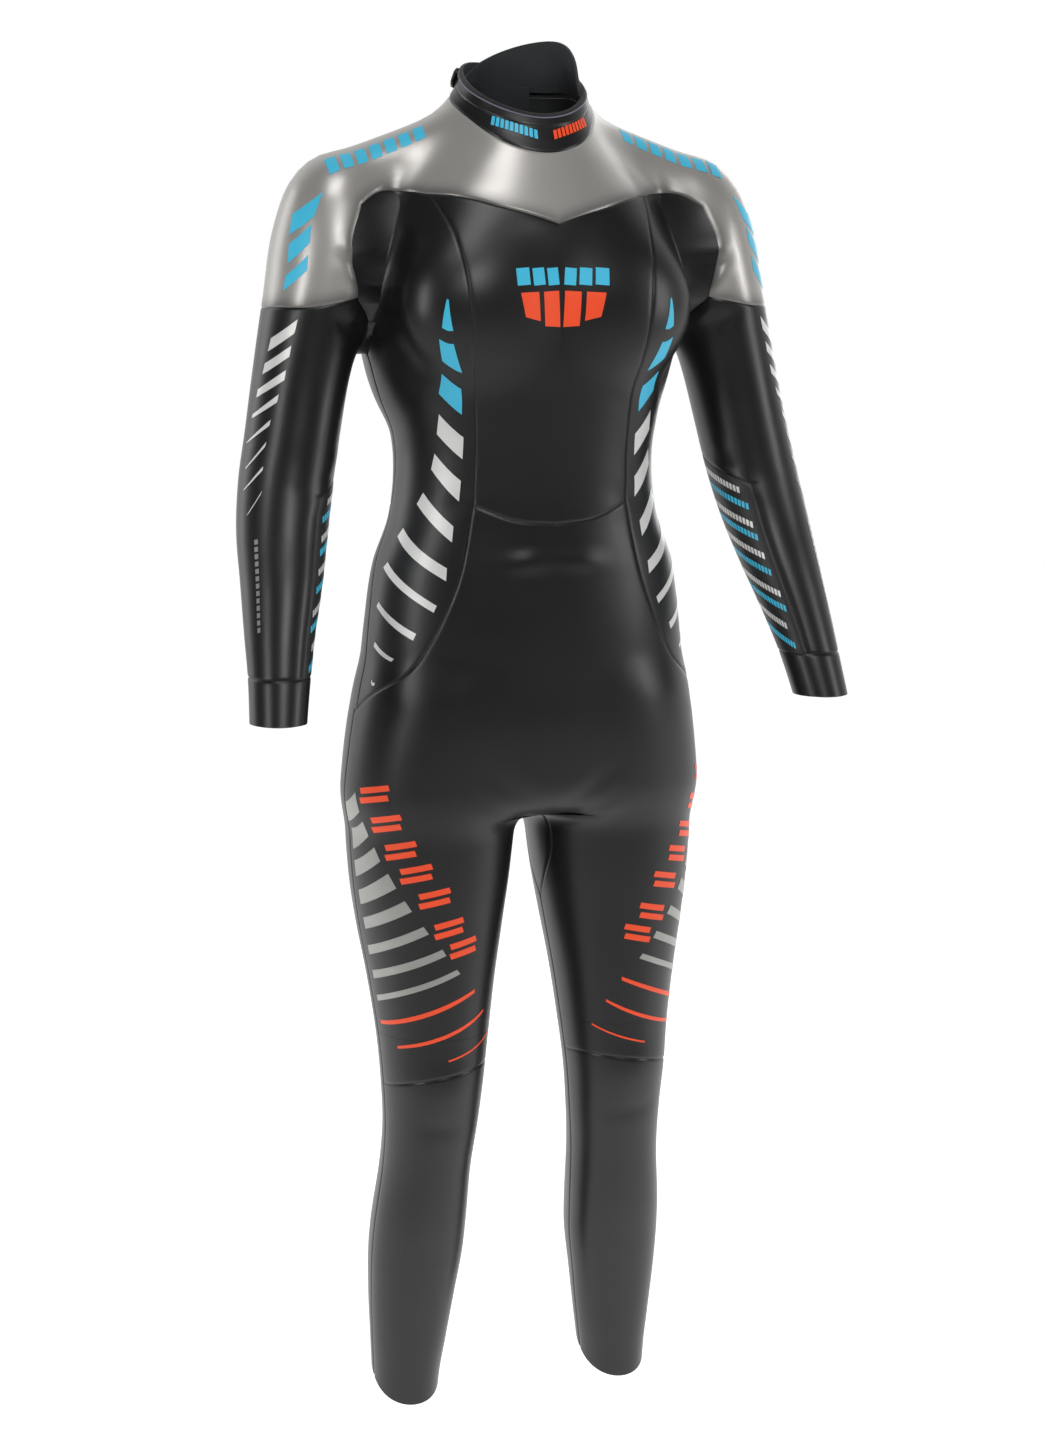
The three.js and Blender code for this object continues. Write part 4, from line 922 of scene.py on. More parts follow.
def lay(name, s):
    """The nets of a panel of the left half, by the panel's name."""
    c = cells()
    n = s["neck"]
    if name == "yoke":
        rows = length(s["yoke_arm"])
        top_share = length(s["shoulder_front"]) / length(join(s["shoulder_front"], s["yoke_arm"]))
        first = spread(length(s["yoke_centre"]), c, (1, 1))
        second_rest = spread(rows, c, (0, 1))
        lower = np.unique(np.round(np.concatenate([
            top_share * first, top_share + (1 - top_share) * second_rest]), 7))
        out = []
        edge = join(s["yoke_chest"], s["yoke_top"])
        us = spread(length(edge), c, (0, 0))
        out.append(net(n[0], edge, s["yoke_centre"], s["shoulder_front"], SHOULDER_CHART, us,
                       first))
        cap = join(s["cap_front"], s["cap_back"])
        us = spread(length(cap), c, (0, 0))
        out.append(net(n[1], cap, join(s["shoulder_front"], s["yoke_arm"]), s["shoulder_rear"],
                       SHOULDER_CHART, us, lower))
        us = spread(length(s["yoke_rear"]), c, (0, 1))
        out.append(net(n[2], s["yoke_rear"], s["shoulder_rear"], s["zip_upper"],
                       SHOULDER_CHART, us, lower))
        return out
    parts = {
        "chest": (s["yoke_chest"], s["waist_front"], s["chest_centre"], s["princess"],
                  turn_chart("torso", 0)),
        "flank": (join(s["yoke_top"], s["yoke_arm"], s["armhole_front"]),
                  np.array([s["hip"][-1]] * 2), join(s["princess"], s["flank"]),
                  join(s["side"], s["hip"]), turn_chart("torso", 40)),
        "back": (join(s["armhole_back"][::-1], s["yoke_rear"]), s["waist_back"][1:][::-1],
                 s["side"], s["zip_lower"], turn_chart("torso", 140)),
        "front_leg": (s["waist_front"], s["knee_front"],
                      join(s["front_centre"], s["gusset_front"], s["thigh_inner"]),
                      join(s["flank"], s["thigh_outer"]), turn_chart("leg", 0)),
        "seat": (s["waist_back"][::-1], s["knee_back"], join(s["hip"], s["thigh_outer"]),
                 join(s["seat_centre"], s["gusset_back"], s["thigh_inner"]),
                 turn_chart("leg", 180)),
        "gusset": (s["gusset_front"], s["gusset_back"], s["gusset_middle"], s["tip"],
                   NEAR_CHART),
    }
    if name in parts:
        top, bottom, left, right, chart = parts[name]
        us = spread(max(length(top), length(bottom)), c)
        vs = spread(max(length(left), length(right)), c)
        return [net(top, bottom, left, right, chart, us, vs)]
    if name == "shin":
        us = spread(length(s["hem_front"]) * 1.3, c)
        upper = spread(length(s["knee_inner"]), c, (0, 1))
        lower = spread(length(s["shin_inner"]), c)
        return [net(s["knee_front"], s["kneecap"], s["knee_inner"], s["knee_outer"],
                    turn_chart("leg", 0), us, upper),
                net(s["kneecap"], s["hem_front"], s["shin_inner"], s["shin_outer"],
                    turn_chart("leg", 0), us, lower)]
    if name == "calf":
        us = spread(length(s["hem_back"]) * 1.3, c)
        left, right = join(s["knee_outer"], s["shin_outer"]), join(s["knee_inner"],
                                                                  s["shin_inner"])
        return [net(s["knee_back"], s["hem_back"], left, right, turn_chart("leg", 180), us,
                    spread(length(left), c, (0, 1)))]
    out = []
    upper_rows = spread(length(s["upper_rows"][1]), c)
    lower_rows = spread(length(s["lower_rows"][1]), c, (1, 1))
    cuff_rows = spread(length(s["cuff_rows"][0]), c)
    for i, (a, b) in enumerate(ARM_SPANS):
        j = (i + 1) % 3
        us = spread(length(s["elbow"][i]), c, (i == 0, i == 0))
        chart = turn_chart("arm", (a + b) / 2)
        if name == "sleeve":
            out.append(net(s["armhole"][i], s["elbow"][i], s["upper_rows"][i],
                           s["upper_rows"][j], chart, us, upper_rows))
        if name == "sleeve" and i or name == "catch" and not i:
            out.append(net(s["elbow"][i], s["wrist"][i], s["lower_rows"][i],
                           s["lower_rows"][j], chart, us, lower_rows))
        if name == "cuff":
            out.append(net(s["wrist"][i], s["cuff_end"][i], s["cuff_rows"][i],
                           s["cuff_rows"][j], chart, us, cuff_rows))
    return out


SEAMS = {}


def seams():
    """The seams of the left half, found once."""
    if not SEAMS:
        SEAMS.update(landmark_seams())
    return SEAMS


def grooves():
    """The lines that show as sewn seams."""
    s = seams()
    names = ("yoke_chest", "yoke_top", "yoke_arm", "cap_front", "cap_back", "yoke_rear",
             "armhole_front", "armhole_back", "princess", "waist_front", "flank", "side", "hip",
             "gusset_front", "gusset_back", "thigh_inner", "thigh_outer", "kneecap",
             "knee_inner", "knee_outer", "shin_inner", "shin_outer", "seat_centre")
    return ([s[name] for name in names] + [s["waist_back"], *s["neck"], *s["wrist"],
            s["elbow"][0], s["lower_rows"][0], s["lower_rows"][1]])


def bend(sign, part, x, heights):
    """A bend from the root to a limb's body, between two heights at a distance x, as a tuple that
    nothing here applies: a piece given one only has its place baked in.
    """
    place = [(x * sign, 0, z * MM) for z in heights]
    return ("root", f"{part}_{side_name(sign)}", *place)


def arm_bend(sign):
    return bend(sign, "forearm", 0.25, ELBOW)


def leg_bend(sign):
    return bend(sign, "lower_leg", 0.104, KNEE)


def side_name(sign):
    return "left" if sign > 0 else "right"


def make_yoke():
    """The silver yoke: three nets a side about the neck, shaded along its lower border."""
    s = seams()
    edge = [s["yoke_chest"], s["yoke_top"], s["yoke_arm"], s["cap_front"], s["cap_back"],
            s["yoke_rear"]]
    panel("shoulder_yoke_skin", both_sides(lay("yoke", s)), BODY_WALL, grooves(),
          [silver_skin(), lining()], "root", ["shoulder_yoke"], border=edge)


def make_torso():
    """The chest, the front and legs in one, the gusset, and the flank, back and seat panels."""
    s = seams()
    looks = [smooth_skin(), lining()]
    panel("chest_skin", both_sides(lay("chest", s)), BODY_WALL, grooves(), looks, "root",
          ["chest_panel"])
    panel("front_leg_skin", both_sides(lay("front_leg", s)), BODY_WALL, grooves(), looks, "root",
          ["front_leg_panel"])
    panel("gusset_skin", both_sides(lay("gusset", s)), BODY_WALL, grooves(), looks, "root",
          ["crotch_gusset"])
    for sign in (1, -1):
        for kind, node in (("flank", "flank_panel"), ("back", "back_panel"),
                           ("seat", "seat_panel")):
            grids = lay(kind, s)
            if sign < 0:
                grids = [mirrored(g) for g in grids]
            panel(f"{kind}_skin_{side_name(sign)}", grids, BODY_WALL, grooves(), looks, "root",
                  [f"{node}_{side_name(sign)}"])


def make_limbs():
    """Shins and calves, sleeves and catch panels, and cuffs. All but the cuffs are given a knee or
    elbow bend, which is not applied: their place is only baked in."""
    s = seams()
    looks = [smooth_skin(), lining()]
    rubber = finish("catch_rubber", (0.013, 0.013, 0.014), 0.45, cells=260, bump=0.25)
    table = [("shin", BODY_WALL, ["knee_section", "shin_panel"], "smooth_skin", leg_bend),
             ("calf", BODY_WALL, ["calf_panel"], "smooth_skin", leg_bend),
             ("sleeve", SLEEVE_WALL, ["upper_sleeve", "elbow_section", "forearm_sleeve"],
              "smooth_skin", arm_bend),
             ("catch", SLEEVE_WALL, ["catch_panel"], "catch_rubber", arm_bend),
             ("cuff", SLEEVE_WALL, ["cuff"], "smooth_skin", None)]
    for sign in (1, -1):
        for kind, wall, nodes, look, bending in table:
            grids = lay(kind, s)
            if sign < 0:
                grids = [mirrored(g) for g in grids]
            panel(f"{kind}_skin_{side_name(sign)}", grids, wall, grooves(),
                  [rubber, lining()] if kind == "catch" else looks, f"forearm_{side_name(sign)}",
                  [f"{node}_{side_name(sign)}" for node in nodes],
                  bending(sign) if bending else None)


def strap(name, first, last, low, high, wall, lift, finishes, body, nodes, look, corner=0,
          bulge=None, cell=3.0):
    """A band round the neck between two turns and two heights, with rounded far corners."""
    middle = ring("torso", (first + last) / 2, (low((first + last) / 2)
                                               + high((first + last) / 2)) / 2)
    reach = np.linalg.norm(middle[:2])
    cols = max(6, int(np.radians(last - first) * reach / cell))
    at = np.linspace(0, 1, cols + 1)
    degrees = first + (last - first) * at
    bottom, top = low(degrees), high(degrees)
    rows = max(4, int((top - bottom).max() / cell))
    v = np.linspace(0, 1, rows + 1)[:, None]
    if corner:
        from_end = (1 - at) * np.radians(last - first) * reach
        cut = np.where(from_end < corner, corner - np.sqrt(np.maximum(
            corner ** 2 - (corner - from_end) ** 2, 0)), 0)
        bottom, top = bottom + cut, top - cut
    grid = ring("torso", degrees[None] + 0 * v, top[None] * (1 - v) + bottom[None] * v)
    points, faces, marks, uvs, _ = walled([grid], wall, [], lift, 0, bulge)
    piece = put_mesh(name, points, faces, finishes, marks, uvs)
    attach(piece, body)
    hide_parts(*nodes)
    return piece


def collar_net(upper, lower, s):
    """Half of a collar band between two heights, from the front to the zip's edge."""
    def line(height):
        degrees = np.linspace(0, 167.5, 300)
        points = ring("torso", degrees, height(degrees))
        points[-1] = cast((ZIP_HALF, 0, float(height(180))), (0, 1, 0))
        return points
    top, bottom = line(upper), line(lower)
    side = np.linspace(0, 1, 20)[:, None]
    left = settle(top[0] * (1 - side) + bottom[0] * side)
    right = cast(np.c_[0 * side + ZIP_HALF, 0 * side, top[-1, 2] * (1 - side)
                       + bottom[-1, 2] * side], (0, 1, 0))
    left[0], left[-1], right[0], right[-1] = top[0], bottom[0], top[-1], bottom[-1]
    return net(top, bottom, left, right, turn_chart("torso", 84), spread(length(top), 3, (0, 0)),
               np.linspace(0, 1, max(6, int(length(left) / 1.5))))


def make_collar():
    """The collar with a raised strip along its top and a groove below it, its binding with a
    round back, the thin piping between them, and the soft guard behind the neck."""
    s = seams()
    top = [ring("torso", np.linspace(0, 180, 300), collar_top(np.linspace(0, 180, 300)))]

    def folded(points, uvs):
        d = near_lines(np.abs(points) * (1, 0, 0) + points * (0, 1, 1), top, 30)
        strip = 1 - step(d, 8.6, 9.6)
        return 0.9 * strip - 0.5 * np.exp(-((d - 9.8) / 0.9) ** 2) + 0.6 * np.exp(
            -((d - 23) / 7) ** 2)

    def rounded(points, uvs):
        v = -uvs[:, 1] / MM
        return 1.3 * np.sin(np.pi * np.clip(v / max(v.max(), 1e-6), 0, 1)) ** 0.6

    table = [("collar_band_skin", collar_net(collar_top, neck_line, s), "collar_band",
              smooth_skin(), folded, "smooth_skin"),
             ("collar_binding_fold", collar_net(lambda d: collar_top(d) + 5, collar_top, s),
              "collar_binding", web(), rounded, "binding_tape")]
    for name, grid, node, look, bulge, where in table:
        points, faces, marks, uvs, _ = walled(both_sides([grid]), COLLAR_WALL, s["neck"],
                                              bulge=bulge)
        piece = put_mesh(name, points, faces, [look, lining()], marks, uvs)
        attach(piece, "root")
        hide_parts(node)
    turns = np.linspace(-166, 166, 400)
    path = ring("torso", turns, collar_top(np.abs(turns)) + 0.2)
    path = path + outward(path) * 1.1
    points, faces = tube(path, 0.85)
    piping = outwards(put_mesh("collar_piping", points, faces, [finish(
        "piping", (0.16, 0.14, 0.2), 0.5, mottle=0.1)]))
    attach(piping, "root")

    def dome(degrees):
        first, last = GUARD_TURNS
        before = np.maximum(0, (GUARD_CROWN - degrees) / (GUARD_CROWN - first))
        behind = np.maximum(0, (degrees - GUARD_CROWN) / (last - GUARD_CROWN))
        return 45 + 40 * np.maximum(0, 1 - before ** 2) ** 0.8 * np.cos(behind * np.pi / 2)

    def soft(points, uvs):
        x, v = uvs[:, 0] / MM, -uvs[:, 1] / MM
        hem = 0.8 * np.exp(-((v - 1.2) / 1.4) ** 2)
        return (hem + 0.9 * np.sin(x / 13 + v / 11) * np.exp(-((v - 16) / 9) ** 2)
                + 0.6 * np.sin(x / 7.5 - v / 17 + 1.3) * step(v, 4, 12))

    strap("neck_guard_cloth", *GUARD_TURNS, lambda d: neck_line(d) + 6, dome, 2.6, -4.2,
          [jersey(), lining()], "root", ["neck_guard"], "stretch_jersey", bulge=soft, cell=2.5)


def make_closure():
    """The strap that closes the collar over the zip's top, with its patches and pull tab."""
    def level(z):
        return lambda degrees: z + 0 * np.asarray(degrees, float)

    def pressed(points, uvs):
        edge = np.minimum.reduce([uvs[:, 0] - uvs[:, 0].min(), uvs[:, 0].max() - uvs[:, 0],
                                  uvs[:, 1] - uvs[:, 1].min(), uvs[:, 1].max() - uvs[:, 1]]) / MM
        return -1.0 * np.exp(-edge / 0.7) - 0.35 * np.exp(-((edge - 2.6) / 0.5) ** 2)

    loops = finish("loop_pile", (0.03, 0.03, 0.032), 0.9, cells=900, bump=0.9)
    patch = (*PATCH_TURNS, level(36), level(53), PATCH_WALL)
    strap("closure_strap", *FLAP_TURNS, level(34), level(55), FLAP_WALL, FLAP_LIFT,
          [smooth_skin(), lining()], "closure_flap", ["closure_flap"], "smooth_skin", corner=8,
          bulge=pressed, cell=1.6)
    strap("closure_stitched_end", *STRIP_TURNS, level(36), level(53), 2.8, LOOP_LIFT, [web()] * 2,
          "root", ["flap_stitch_strip"], "binding_tape", bulge=pressed, cell=1.2)
    strap("loop_patch", *patch, LOOP_LIFT, [loops] * 2, "closure_flap", ["flap_loop_patch"],
          "loop_pile", cell=1.5)
    strap("hook_patch", *patch, HOOK_LIFT, [plastic()] * 2, "root", ["collar_hook_patch"],
          "moulded_black", cell=1.5)
    strap("closure_pull_tab", *TAB_TURNS, level(38), level(51), 1.6, 6.5, [web()] * 2,
          "closure_flap", ["flap_pull_tab"], "binding_tape", corner=5, bulge=pressed, cell=1.2)
    zs = np.linspace(36.5, 52.5, 40)
    rows = []
    for turn in (154, 158.5):
        line = ring("torso", turn + 0 * zs, zs)
        up = outward(line)
        rows.append(stitches(line + up * 7.0, up, 2.6, 1.9, 0.28))
    turns = np.linspace(160, 236, 120)
    for z in (37.2, 51.8):
        line = ring("torso", turns, z + 0 * turns)
        up = outward(line)
        rows.append(stitches(line + up * 6.75, up, 3.0, 2.2, 0.28))
    piece = outwards(put_mesh("closure_stitching", *gather(rows), [thread()]))
    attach(piece, "closure_flap")


ZIP_CENTRE = np.array([-499.959, -191.684])
ZIP_RADIUS = 605.794


def on_circle(x, z, lift):
    """Points over the zip's own circle: x across, z down the back, lift outwards."""
    turn = np.arcsin((z - ZIP_CENTRE[1]) / ZIP_RADIUS)
    r = ZIP_RADIUS + lift
    return np.stack(np.broadcast_arrays(x, ZIP_CENTRE[0] + r * np.cos(turn),
                                        ZIP_CENTRE[1] + r * np.sin(turn)), -1)


def make_zip():
    """Moulded teeth in two rows that mesh half a pitch apart, each a chamfered head, a neck and a
    foot that holds the tape's bead; the tapes, stops, slider and puller keep their solids."""
    count = int(372 / (bpy.context.scene.suit_sizes.tooth_pitch / MM))
    pitch = 372 / count
    outline = np.array([(-1.0, 0.35), (-0.7, 0.75), (0.3, 0.78), (0.75, 0.42), (1.5, 0.46),
                        (1.9, 0.85), (3.2, 0.85)])
    outline = np.concatenate([outline, outline[::-1] * (1, -1)])
    m = len(outline)
    shrink = outline * (0.9, 0.78) + (0.12, 0)
    layers = [(shrink, 0.02), (outline, -0.4), (outline, -2.0), (shrink, -2.35)]
    for sign in (1, -1):
        points, faces = [], []
        for i in range(count):
            z = 24 - pitch * (i + (0.25 if sign > 0 else 0.75))
            for shape, lift in layers:
                points.append(on_circle(sign * (shape[:, 0] + 0.05), z + shape[:, 1], lift))
            start = i * m * len(layers)
            for k in range(len(layers) - 1):
                a = start + k * m
                faces += [[a + j, a + (j + 1) % m, a + m + (j + 1) % m, a + m + j]
                          for j in range(m)]
            top = start
            faces.append([top + j for j in range(m)])
            faces.append([start + (len(layers) - 1) * m + j for j in range(m)][::-1])
        piece = outwards(put_mesh(f"zip_teeth_{side_name(sign)}", np.concatenate(points), faces,
                                  [plastic()], sharp=30))
        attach(piece, "root")
        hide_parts(f"zip_chain_{side_name(sign)}")
    nodes = frame["nodes"]
    looks = {"zip_tape_left": web(), "zip_tape_right": web(), "zip_bottom_stop": metal(),
             "zip_top_stop_left": metal(), "zip_top_stop_right": metal(),
             "zip_slider": metal(), "zip_puller": metal()}
    for node, look in looks.items():
        nodes[node].data.materials.clear()
        nodes[node].data.materials.append(look)
        if "tape" not in node:
            edge = nodes[node].modifiers.new("edge", "BEVEL")
            edge.width = 0.25 * MM
            edge.segments = 2
            edge.limit_method = "ANGLE"

    def hung(points, uvs):
        return 0.5 * np.sin(uvs[:, 1] / MM / 37)

    zs = np.linspace(40, -342, 98)
    xs = np.linspace(-30, 30, 18)
    grid = cast(np.stack(np.broadcast_arrays(xs[None], 0.0, zs[:, None]), -1), (0, 1, 0))
    points, faces, marks, uvs, _ = walled([grid], 2.6, [], -7, 0, hung)
    piece = put_mesh("zip_backing_cloth", points, faces, [jersey(), lining()], marks, uvs)
    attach(piece, "root")
    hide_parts("zip_backing_flap")

# ---- printed films: places are turns about an axis in degrees and heights in mm ----
def slash(inner_top, outer_top, inner_bottom, outer_bottom, sag=1.5):
    """The two edges of a slash between an inner and an outer end, hanging by a sag."""
    edges = []
    for a, b in ((inner_top, outer_top), (inner_bottom, outer_bottom)):
        edges.append([a, ((a[0] + b[0]) / 2, (a[1] + b[1]) / 2 - sag), b])
    return edges


FLANK_SLASHES = [
    ((46, -178), (46.5, -177), (45, -209), (48.5, -206)),
    ((45.5, -222), (50, -217), (45, -251), (51, -239)),
    ((47, -267), (53, -252), (48, -293), (57, -272)),
    ((48, -316), (58, -293), (49, -338), (60, -313)),
    ((50, -360), (62, -333), (51, -381), (64, -349)),
    ((53, -406), (68, -373), (53, -422), (71, -385)),
    ((54, -448), (77, -410), (54, -461), (79, -419)),
    ((57, -486), (80, -445), (58, -493), (82, -451)),
    ((64, -515), (82, -486), (65, -522), (83, -491)),
    ((72, -542), (82, -527), (73, -545), (82.5, -532)),
    ((79, -568), (81, -566), (79, -571), (81, -569)),
]
DELTOID_SLASHES = [
    ((28, -73), (58, -94), (31, -97), (56, -115)),
    ((32, -105), (54, -124), (30, -123), (52, -143)),
    ((30, -135), (52, -155), (29, -150), (53, -170)),
]
SLEEVE_SLASHES = [
    ((30, -198), (60, -217), (31, -212), (62, -230)),
    ((32, -224), (64, -242), (32, -235), (66, -253)),
    ((33, -248), (71, -268), (33, -258), (72, -276)),
    ((37, -272), (76, -293), (38, -280), (77, -297)),
    ((43, -297), (83, -321), (44, -303), (83, -322)),
    ((45, -319), (75, -346), (46, -324), (75, -347)),
    ((45, -343), (74, -367), (45, -347), (74, -368)),
    ((43, -367), (64, -391), (44, -370), (64, -392)),
]
THIGH_BANDS = [
    ((73, -683), (88, -697), (69, -703), (88, -718)),
    ((67, -713), (84, -724), (63, -728), (84, -747)),
    ((58, -739), (83, -759), (53, -753), (82, -776)),
    ((47, -765), (80, -790), (41, -780), (79, -805)),
    ((35, -793), (78, -819), (30, -804), (77, -831)),
    ((22, -820), (78, -849), (18, -828), (78, -859)),
    ((8, -845), (78, -876), (5, -852), (78, -885)),
    ((-4, -868), (78, -903), (-7, -873), (77, -909)),
]
THIGH_LINES = [
    ([(-22, -892), (10, -908), (34, -918), (78, -930)],
     [(-22, -896), (10, -913), (34, -923), (78, -934)]),
    ([(-36, -917), (-13, -930), (21, -944), (54, -953)],
     [(-36, -920), (-13, -934), (21, -948), (54, -956)]),
    ([(-51, -945), (-30, -955), (2, -966)], [(-51, -947), (-30, -957), (2, -968)]),
]
THIGH_MARKS = [(57, -682), (48, -712), (38, -740), (27, -764), (14, -790), (3, -823), (-9, -845)]
CATCH_ROWS = [(-45, -380), (-40, -397), (-42, -416), (-41, -429), (-41, -448), (-40, -465),
              (-38, -487), (-38, -502), (-48, -520), (-45, -540)]


def make_prints():
    """The printed slashes, bands, lines and plain block marks of both halves."""
    lines = grooves()
    torso, arm, leg = (turn_chart(axis, 0)[1] for axis in ("torso", "arm", "leg"))
    blue, white, dim, orange = blue_print(), white_print(), dim_print(), orange_print()
    for sign in (1, -1):
        side = side_name(sign)
        patches = [(*slash(*place), 0 if i < 3 else 1) for i, place in enumerate(FLANK_SLASHES)]
        film(f"flank_slashes_{side}", patches, [blue, white], torso, sign, lines, "root")
        patches = [(*slash(*place), 0) for place in DELTOID_SLASHES]
        film(f"shoulder_slashes_{side}", patches, [blue], arm, sign, lines, "root")
        patches = [(*slash(*place), 0) for place in SLEEVE_SLASHES]
        film(f"sleeve_slashes_{side}", patches, [white], arm, sign, lines, "root",
             arm_bend(sign))
        shift = 10 if sign > 0 else 0
        patches = [(*slash(*[(min(a + shift, 92), z) for a, z in place], 2.5), 0)
                   for place in THIGH_BANDS]
        patches += [([(a + shift, z) for a, z in upper], [(a + shift, z) for a, z in lower], 1)
                    for upper, lower in THIGH_LINES]
        for a, z in THIGH_MARKS:
            a += shift
            for lean in (-1, 1):
                c = z + 5.2 * lean
                patches.append(([(a - 10, c + 6.4), (a + 11.5, c - 0.4)],
                                [(a - 11.5, c + 0.4), (a + 10, c - 6.4)], 1))
        film(f"thigh_prints_{side}", patches, [dim, orange], leg, sign, lines, "root",
             leg_bend(sign))
        patches = []
        for i, (turn, z) in enumerate(CATCH_ROWS):
            for k in range(14):
                a, b = turn - 4.7 * k, turn - 4.7 * k - 3.3
                high, low = z + 1.6 * k + 3.2, z + 1.6 * k - 3.2
                patches.append(([(b + 0.8, high + 1.1), (a + 0.8, high)],
                                [(b - 0.8, low + 1.1), (a - 0.8, low)], i % 2))
        film(f"catch_rows_{side}", patches, [white, blue], arm, sign, lines, "root",
             arm_bend(sign))
        patches = [([(45.6, z), (51, z - 1)], [(45.6, z - 4.6), (51, z - 5.6)], 0)
                   for z in range(-414, -500, -7)]
        film(f"forearm_dashes_{side}", patches, [dim], arm, sign, lines, "root", arm_bend(sign))
        low = np.array([(213, -26, -56), (103, -12, -15)], float)
        high = np.array([(216, -8, -42), (105, 2, -4)], float)

        def on_shoulder(c):
            u, v = c[..., :1], c[..., 1:]
            return settle((low[0] + u * (low[1] - low[0])) * (1 - v)
                          + (high[0] + u * (high[1] - high[0])) * v)

        patches = [([(0.02 + i / 7, 1), (0.12 + i / 7, 1)], [(i / 7, 0), (0.1 + i / 7, 0)], 0)
                   for i in range(7)]
        film(f"shoulder_bars_{side}", patches, [blue], on_shoulder, sign, lines, "root")
        patches = []
        for a in range(46, 8, -4):
            top = 3.4 - 0.38 * (46 - a)
            patches.append(([(a - 2.9, top - 1.1), (a, top)], [(a - 2.9, top - 10), (a, top - 9)],
                            0 if sign < 0 else 1))
        film(f"collar_bars_{side}", patches, [blue, orange], torso, sign, lines, "root",
             lift=0.7)
        patches = []
        for i in range(3):
            a = 1.2 + 7.4 * i
            patches.append(([(a + 0.8, -147), (a + 6.6, -148)], [(a, -164), (a + 5.8, -165)], 0))
        patches.append(([(1.6, -170), (9.6, -171)], [(0.8, -206), (8.8, -205)], 1))
        patches.append(([(12, -171), (20.4, -172)], [(11.2, -200), (18.2, -196)], 1))
        film(f"chest_mark_{side}", patches, [blue, orange], torso, sign, lines, "root")


# ---- studio ----
def lamp(name, place, aim, size, power, tint=(1, 1, 1)):
    """A soft rectangular lamp at a place, turned to a point."""
    data = bpy.data.lights.new(name, "AREA")
    data.shape = "RECTANGLE"
    data.size, data.size_y = size
    data.energy = power
    data.color = tint
    item = bpy.data.objects.new(name, data)
    item.location = place
    way = np.array(place) - np.array(aim)
    flat = np.hypot(way[0], way[1])
    item.rotation_euler = (np.arctan2(flat, way[2]), 0, np.arctan2(way[0], -way[1]))
    bpy.context.collection.objects.link(item)
    return item


def make_stage():
    """A round pale floor with a painted glow: it emits light, weakly in front of the suit and
    strongly behind it. Also a room that is bright behind and dim in front, tall soft lamps, and
    the camera."""
    turn = np.radians(-20)
    back = (-np.sin(turn), np.cos(turn), 0)
    radius = np.linspace(0, 1, 30)[1:, None] ** 1.5 * 9
    angle = np.linspace(0, 2 * np.pi, 72, endpoint=False)[None]
    grid = np.stack(np.broadcast_arrays(radius * np.cos(angle), radius * np.sin(angle), -1.4), -1)
    n = np.arange(grid.shape[0] * grid.shape[1]).reshape(grid.shape[:2])
    m = np.roll(n, -1, 1)
    quads = np.stack([n[:-1], n[1:], m[1:], m[:-1]], -1).reshape(-1, 4)
    middle = [n[0].tolist()]
    # Painted glow: the floor's paper gets a white emission, its strength read from the point
    # attribute named border.
    paper = finish("studio_paper_painted_glow", (0.82, 0.82, 0.82), 0.9, grain=60, bump=0.01, mottle=0.005)
    shader = paper.node_tree.nodes["Principled BSDF"]
    shader.inputs["Emission Color"].default_value = (1, 1, 1, 1)
    glow = paper.node_tree.nodes.new("ShaderNodeAttribute")
    glow.attribute_name = "border"
    paper.node_tree.links.new(glow.outputs["Fac"], shader.inputs["Emission Strength"])
    points = grid.reshape(-1, 3)
    # Painted glow strength per point: 0.06 on the floor in front of the suit, rising to 0.75 behind
    # it.
    floor = put_mesh("studio_floor", points / MM, quads.tolist() + middle, [paper],
                     border=0.06 + 0.69 * step(points @ back, -0.9, -0.2))
    world = bpy.context.scene.world or bpy.data.worlds.new("studio")
    bpy.context.scene.world = world
    world.use_nodes = True
    nodes, links = world.node_tree.nodes, world.node_tree.links
    way = nodes.new("ShaderNodeTexCoord")
    facing = linked(links, nodes, "ShaderNodeVectorMath", [(0, way.outputs["Generated"])])
    facing.operation = "DOT_PRODUCT"
    facing.inputs[1].default_value = back
    glow = linked(links, nodes, "ShaderNodeMapRange", [("Value", facing.outputs["Value"])])
    glow.inputs["From Min"].default_value = 0.05
    glow.inputs["From Max"].default_value = 0.6
    glow.inputs["To Min"].default_value = 0.03
    glow.inputs["To Max"].default_value = 0.95
    seen = nodes.new("ShaderNodeLightPath")
    most = linked(links, nodes, "ShaderNodeMath", [(0, glow.outputs["Result"]),
                                                   (1, seen.outputs["Is Camera Ray"])])
    most.operation = "MAXIMUM"
    nodes["Background"].inputs["Color"].default_value = (1, 1, 1, 1)
    links.new(most.outputs["Value"], nodes["Background"].inputs["Strength"])
    lamps = [lamp("strip_left", (-2.3, -1.1, 0.1), (0, 0, -0.4), (0.35, 1.5), 17),
             lamp("strip_right", (2.2, -1.5, 0.1), (0, 0, -0.4), (0.4, 1.4), 17),
             lamp("top_soft", (-0.4, -1.2, 1.9), (0, 0, -0.2), (1.0, 0.8), 17),
             lamp("key", (-0.2, -2.6, 1.1), (0, -0.05, -0.35), (0.8, 0.6), 20),
             lamp("back_left", (-1.8, 1.6, 0.2), (0, 0, -0.6), (0.8, 1.8), 9),
             lamp("back_right", (1.8, 1.7, 0.2), (0, 0, -0.6), (0.8, 1.8), 9)]
    data = bpy.data.cameras.new("view")
    data.lens = 71.72
    camera = bpy.data.objects.new("view", data)
    camera.location = (-1.026, -2.819, -0.145)
    camera.rotation_euler = np.radians((81, 0, -20))
    bpy.context.collection.objects.link(camera)
    bpy.context.scene.camera = camera
    bpy.context.scene.view_settings.view_transform = "Standard"


